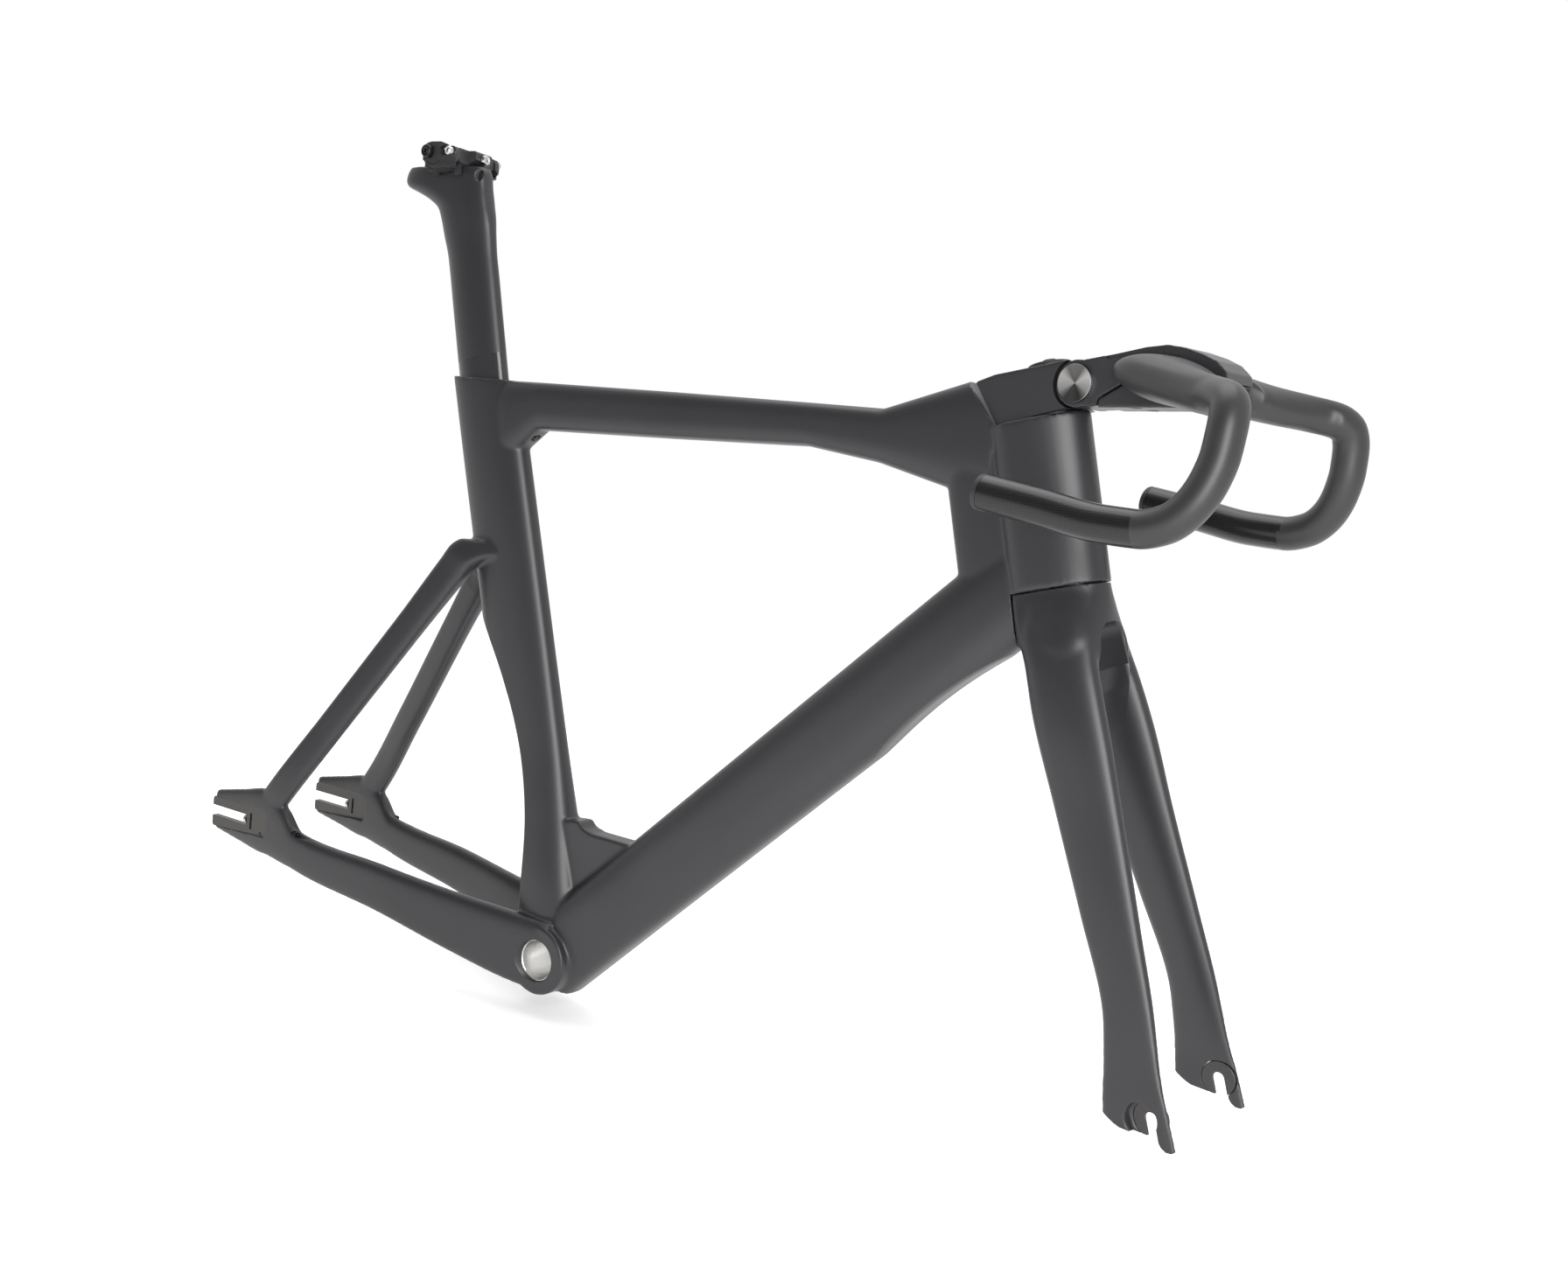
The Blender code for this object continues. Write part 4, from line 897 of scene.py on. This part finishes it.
def make_stem_clamp():
    low_rear, low_front = head(-44, 48), head(22.5, 48)
    outline = [(low_rear.x, low_rear.z), (low_front.x, low_front.z), (434, 546)]
    outline += [(425, 548), (408, 544), (368, 535.5), (353, 530), (349, 524)]
    clamp = soft_slab("stem_rear_body", outline, 21, paint, 16)
    sweep = turned("back_sweep", head(0, 50.8), UPWARD, [(0, 43.15), (54.2, 61.7)], sides=256)
    combined(clamp, [sweep], "INTERSECT")
    cuts = []
    for side in SIDES.values():
        low, high = sorted((side * 8.0, side * 30))
        cuts.append(pivot_cylinder("cheek_space", low, high, 18.1))
    combined(clamp, cuts)
    combined(clamp, [pivot_cylinder("tongue", -8, 8, 15)], "UNION")
    cuts = [
        steering_cylinder("steerer_bore", 45, 100, STEERER_RADIUS + 0.3),
        steering_cylinder("cap_seat", 84.6, 110, 16.6),
        box("clamp_slit", head(-38, 70), (26, 1.0, 60), FORWARD, Y, UPWARD),
        pivot_cylinder("tongue_bore", -20, 20, 5.3),
    ]
    for q in (61, 77):
        cuts.append(turned("bolt_bore", head(-31, q, -14.6), Y, [(0, 2.8), (34.6, 2.8)], sides=40))
        cuts.append(turned("bolt_seat", head(-31, q, 14), Y, [(0, 4.8), (20, 4.8)], sides=48))
    combined(clamp, cuts)
    softened(clamp, 0.3, 2, 40)
    place(turn_mesh(clamp), "steering", ["stem_steerer_clamp"], "carbon")
    for where, q in (("lower", 61), ("upper", 77)):
        profile = [(0, 2.5), (28, 2.5), (28, 4.1), (28.3, 4.4), (32.4, 4.4), (33, 3.8)]
        bolt = turned(f"clamp_screw_{where}", head(-31, q, -13.6), Y, profile, black_oxide, 64)
        combined(bolt, [turned("socket", head(-31, q, 16), Y, [(0, 2.2), (9, 2.2)], sides=6)])
        place(turn_mesh(bolt), "steering", [f"stem_clamp_bolt_{where}"], "black_steel")
    make_top_cap()


def make_top_cap():
    profile = [(0, 16.2), (2.2, 16.2), (2.9, 15.9), (3.4, 15.2)]
    cap = turned("top_cap", head(0, 85), UPWARD, profile, black_plastic)
    combined(cap, [steering_cylinder("hole", 80, 95, 3.4), steering_cylinder("head_seat", 86.6, 95, 5.6)])
    softened(cap, 0.2)
    place(turn_mesh(cap), "steering", ["steerer_top_cap"], "carbon")
    profile = [(0, 2.9), (30, 2.9), (30, 4.9), (30.3, 5.2), (32.1, 5.2), (32.6, 4.7)]
    bolt = turned("preload_screw", head(0, 58.8), UPWARD, profile, black_oxide, 64)
    combined(bolt, [turned("socket", head(0, 89.4), UPWARD, [(0, 2.6), (6, 2.6)], sides=6)])
    place(turn_mesh(bolt), "steering", ["preload_bolt"], "black_steel")


def bar_seat(name):
    start = Vector((BAR_CENTRE[0], -40, BAR_CENTRE[1]))
    return turned(name, start, Y, [(0, BAR_CLAMP_RADIUS + 0.3), (80, BAR_CLAMP_RADIUS + 0.3)], sides=160)


BAR_BOLTS = (("rear", 480.5, 521), ("front", 535, 528))


def make_stem_arm():
    outline = arc(*STEM_PIVOT, 16.6, 80, 285, 48)
    outline += [(453.6, 517.4), (454.2, 522.8), (473.5, 534.4), (491, 537.6), (548, 537.6)]
    outline += [(547, 544), (539, 551), (528, 555.5), (515, 559), (502, 560.5), (486, 558.5), (462, 553)]
    arm = soft_slab("stem_front_arm", outline, 20, paint, 5)
    facet = [(446, 560), (458, 549.5), (474, 552.5), (500, 557), (500, 580), (446, 580)]
    cuts = [bar_seat("seat"), pivot_cylinder("tongue_space", -8.4, 8.4, 16.2)]
    cuts.append(pivot_cylinder("bore", -30, 30, 5.3))
    cuts.append(box("rear_space", Vector((420, 0, 532)), (17, 8.4, 30)))
    caps = [(454.6, 516.4), (526, 520), (541, 525), (547.5, 536.9), (491.5, 536.9), (474.2, 533.7)]
    caps.append((455.1, 522.0))
    cap = soft_slab("bar_cap", caps, 19.6, paint, 3)
    cap_cuts = [bar_seat("seat")]
    for side in SIDES.values():
        cuts.append(side_prism("facet", facet, 17.5, 30, side))
        for _, x, top in BAR_BOLTS:
            start = Vector((x, side * 12.5, top - 20))
            cuts.append(turned("bore", start, Z, [(0, 2.8), (38, 2.8)], sides=40))
            cap_cuts.append(turned("bore", start, Z, [(0, 2.8), (60, 2.8)], sides=40))
            cap_cuts.append(turned("seat", start - Z * 2, Z, [(0, 4.5), (22, 4.5)], sides=48))
    combined(arm, cuts)
    combined(cap, cap_cuts)
    softened(arm, 0.3, 2, 40)
    softened(cap, 0.3, 2, 40)
    place(turn_mesh(arm), "stem_arm", ["stem_arm"], "carbon")
    place(turn_mesh(cap), "stem_arm", ["bar_clamp_cap"], "carbon")
    for where, x, top in BAR_BOLTS:
        for word, side in SIDES.items():
            profile = [(0, 3.6), (0.5, 4.1), (3.2, 4.1), (3.2, 2.5), (19.5, 2.5)]
            start = Vector((x, side * 12.5, top - 3.5))
            bolt = turned(f"bar_screw_{where}_{word}", start, Z, profile, black_oxide, 48)
            combined(bolt, [turned("socket", start - Z, Z, [(0, 1.8), (3.2, 1.8)], sides=6)])
            place(turn_mesh(bolt), "stem_arm", [f"bar_clamp_bolt_{where}_{word}"], "black_steel")
    for word, side in SIDES.items():
        make_pivot_disc(word, side)


def make_pivot_disc(word, side):
    """A shallow dished disc, built about its own Z axis so that its turning marks run round it."""
    profile = [(0, 13.4), (1.6, 13.4), (2.7, 13.3), (3.0, 13.0), (2.9, 12.6), (1.7, 0.7)]
    # the disc's material paints its bow-tie highlight round this Z axis
    disc = turned(f"pivot_disc_{word}", Vector((0, 0, 0)), Z, profile, spun_silver_with_painted_bowtie, 128)
    turn = Matrix.Rotation(math.radians(-90 * side), 4, "X")
    shift = Matrix.Translation(Vector((STEM_PIVOT[0], side * 20.3, STEM_PIVOT[1])) * MM)
    disc.matrix_world = STEER @ shift @ turn
    place(disc, "stem_arm", [f"pivot_cap_{word}"], "silver")


# Handlebar ---------------


def bar_rows():
    """From the middle outwards: centre, direction, half chord, half thickness and chord tilt."""
    wing = (
        (508, 0, 537.3, 15.9, 15.9, 0), (508, 21, 537.3, 15.9, 15.9, 0), (510, 24, 537.3, 26, 15.2, -6),
        (511, 30, 536.5, 42, 15.5, -9), (528, 44, 532.5, 31, 14, -12), (549, 60, 528, 21.5, 12.8, -14),
        (567, 75, 525, 15, 12.4, -10),
    )
    rows = [(x, y, z, 0.15 if y > 40 else 0, 1, 0, a, b, t) for x, y, z, a, b, t in wing]
    shoulder = (
        (582.5, 88, 521.5, (0.8, 1, -0.3), 12.7, -4), (588.3, 95, 515.3, (0.4, 0.9, -1.1), 12.3, 0),
        (589.7, 99, 505, (0, 0.3, -1.4), 12.3, 0), (589, 101.3, 490, (-0.15, 0.15, -1), 12.3, 0),
        (585.5, 104, 474, (-0.4, 0.15, -1), 12.3, 0), (577, 107.5, 457, (-0.8, 0.2, -0.8), 12.3, 0),
        (563, 109.5, 445, (-1, 0.1, -0.45), 12.3, 0), (545, 110.5, 440.4, (-1, 0.05, -0.1), 12.3, 0),
        (520, 111.5, 441, (-1, 0.05, 0.07), 12.3, 0), (475, 113.6, 447.2, (-1, 0.05, 0.12), 12.3, 0),
        (*BAR_END, BAR_END_WAY, 12.3, 0),
    )
    for x, y, z, way, chord, tilt in shoulder:
        rows.append((x, y, z, *Vector(way).normalized(), chord, BAR_RADIUS, tilt))
    return eased(rows, 2.5)


def bar_rings(side):
    rings = []
    along = X.copy()
    for x, y, z, wx, wy, wz, chord, thick, tilt in bar_rows():
        way = Vector((wx, wy, wz)).normalized()
        along = (along - way * along.dot(way)).normalized()
        turn = Matrix.Rotation(math.radians(tilt), 3, -way)
        u, v = turn @ along, turn @ way.cross(along)
        outline = ring(Vector((x, y, z)), u, v, chord, chord, thick, 2.0)
        rings.append([Vector((p.x, p.y * side, p.z)) for p in outline])
    return rings


def make_handlebar():
    right, left = bar_rings(-1), bar_rings(1)
    bar = loft("drop_bar", list(reversed(right[1:])) + left, bar_paint)
    cuts = []
    for side in SIDES.values():
        tip, way = bar_end(side)
        cuts.append(turned("bar_bore", tip + way * 10, -way, [(0, 9.6), (42, 9.6)]))
    combined(bar, cuts)
    bar.data.materials.append(weave)
    for face in bar.data.polygons:
        if face.center.z < 0.4655 and face.center.x < 0.5455:
            face.material_index = 1
    place(turn_mesh(bar), "handlebar", ["handlebar"], "carbon")
    for word, side in SIDES.items():
        tip, way = bar_end(side)
        ribs = [(2 + k * 2.5, 9.2 - 0.4 * (k % 2)) for k in range(9)]
        profile = [(0, 8.6)] + ribs + [(24.35, 9.2), (24.5, 12.0), (27.0, 12.1), (28.2, 11.6), (28.6, 10.6)]
        plug = turned(f"end_plug_{word}", tip - way * 24, way, profile, black_plastic, 96)
        place(turn_mesh(plug), "handlebar", [f"bar_end_plug_{word}"], "black_plastic")


def bar_end(side):
    tip = Vector((BAR_END[0], side * BAR_END[1], BAR_END[2]))
    return tip, Vector((BAR_END_WAY[0], side * BAR_END_WAY[1], BAR_END_WAY[2])).normalized()


# Carried-over solids, floor, lights and camera ---

CARRIED = {
    "bearing_steel": ("lower_outer_race", "upper_outer_race", "lower_inner_race", "upper_inner_race",
                      "lower_ball_cage", "upper_ball_cage"),
    "silver": ("compression_ring", "expander_plug", "pivot_axle"),
    "black_steel": ("seatpost_wedge_bolt",),
    "dark_metal": ("seatpost_wedge",),
    "carbon": ("steerer_tube",),
}


def finish_carried():
    looks = {"bearing_steel": bearing_metal, "silver": bearing_metal, "black_steel": black_oxide,
             "dark_metal": plate_metal, "carbon": paint}
    for slot, names in CARRIED.items():
        for name in names:
            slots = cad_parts[name].data.materials
            slots.clear()
            slots.append(looks[slot])


def make_floor():
    """A wide pale floor just under the object."""
    level = -0.052
    reach = 12.0
    corners = [(-reach, -reach), (reach, -reach), (reach, reach), (-reach, reach)]
    data = bpy.data.meshes.new("studio_floor")
    data.from_pydata([(x, y, level) for x, y in corners], [], [(0, 1, 2, 3)])
    floor = bpy.data.objects.new("studio_floor", data)
    bpy.context.scene.collection.objects.link(floor)
    made = Recipe("pale_floor", (0.93, 0.93, 0.93), 0.95)
    grain = made.noise(40, 3)
    made.to(made.mix(made.spread(grain, 0, 1), (0.92, 0.92, 0.92), (0.94, 0.94, 0.94)), "Base Color")
    made.set("Emission Color", (1, 1, 1, 1))
    made.set("Emission Strength", 0.32)
    data.materials.append(made.material)


def area_light(name, location, target, size, power, height=None):
    light = bpy.data.lights.new(name, "AREA")
    light.shape = "RECTANGLE"
    light.size = size
    light.size_y = height or size
    light.energy = power
    made = bpy.data.objects.new(name, light)
    made.location = location
    made.rotation_euler = (Vector(target) - Vector(location)).to_track_quat("-Z", "Y").to_euler()
    bpy.context.scene.collection.objects.link(made)


def make_lights():
    """A white studio, darker on one side, and two softboxes ahead of the object's right side."""
    world = bpy.data.worlds.new("studio")
    world.use_nodes = True
    nodes, links = world.node_tree.nodes, world.node_tree.links
    place = nodes.new("ShaderNodeTexCoord")
    split = nodes.new("ShaderNodeSeparateXYZ")
    ramp = nodes.new("ShaderNodeMapRange")
    ramp.interpolation_type = "SMOOTHSTEP"
    ramp.inputs["From Min"].default_value = -0.75
    ramp.inputs["From Max"].default_value = 0.05
    ramp.inputs["To Min"].default_value = 0.14
    ramp.inputs["To Max"].default_value = 1.0
    links.new(place.outputs["Generated"], split.inputs[0])
    links.new(split.outputs["Y"], ramp.inputs["Value"])
    nodes["Background"].inputs["Color"].default_value = (1, 1, 1, 1)
    links.new(ramp.outputs["Result"], nodes["Background"].inputs["Strength"])
    bpy.context.scene.world = world
    bpy.context.scene.view_settings.view_transform = "Standard"
    area_light("key", (1.65, -1.95, 0.85), (0.3, 0, 0.3), 1.1, 58, 1.8)
    area_light("top", (0.0, 0.2, 2.4), (0.1, 0, 0.3), 1.8, 18)


def make_camera():
    azimuth, down, roll = math.radians(31.13), math.radians(6.91), math.radians(6.49)
    ahead = Vector((-math.sin(azimuth) * math.cos(down), math.cos(azimuth) * math.cos(down), -math.sin(down)))
    level = Vector((math.cos(azimuth), math.sin(azimuth), 0))
    up = level.cross(ahead)
    right = level * math.cos(roll) + up * math.sin(roll)
    top = right.cross(ahead)
    camera = bpy.data.cameras.new("camera")
    camera.lens = 34.38
    camera.sensor_width = 36.0
    camera.sensor_fit = "HORIZONTAL"
    camera.shift_x = -0.0218
    camera.shift_y = 0.0217
    made = bpy.data.objects.new("camera", camera)
    made.matrix_world = Matrix((
        (right.x, top.x, -ahead.x, 0.8490),
        (right.y, top.y, -ahead.y, -1.0147),
        (right.z, top.z, -ahead.z, 0.4366),
        (0, 0, 0, 1),
    ))
    bpy.context.scene.collection.objects.link(made)
    bpy.context.scene.camera = made


def main():
    make_frame()
    make_sleeve()
    for word, side in SIDES.items():
        make_dropout(word, side)
    make_seatpost()
    make_saddle_clamp()
    make_fork()
    make_stem_clamp()
    make_stem_arm()
    make_handlebar()
    finish_carried()
    make_floor()
    make_lights()
    make_camera()


main()
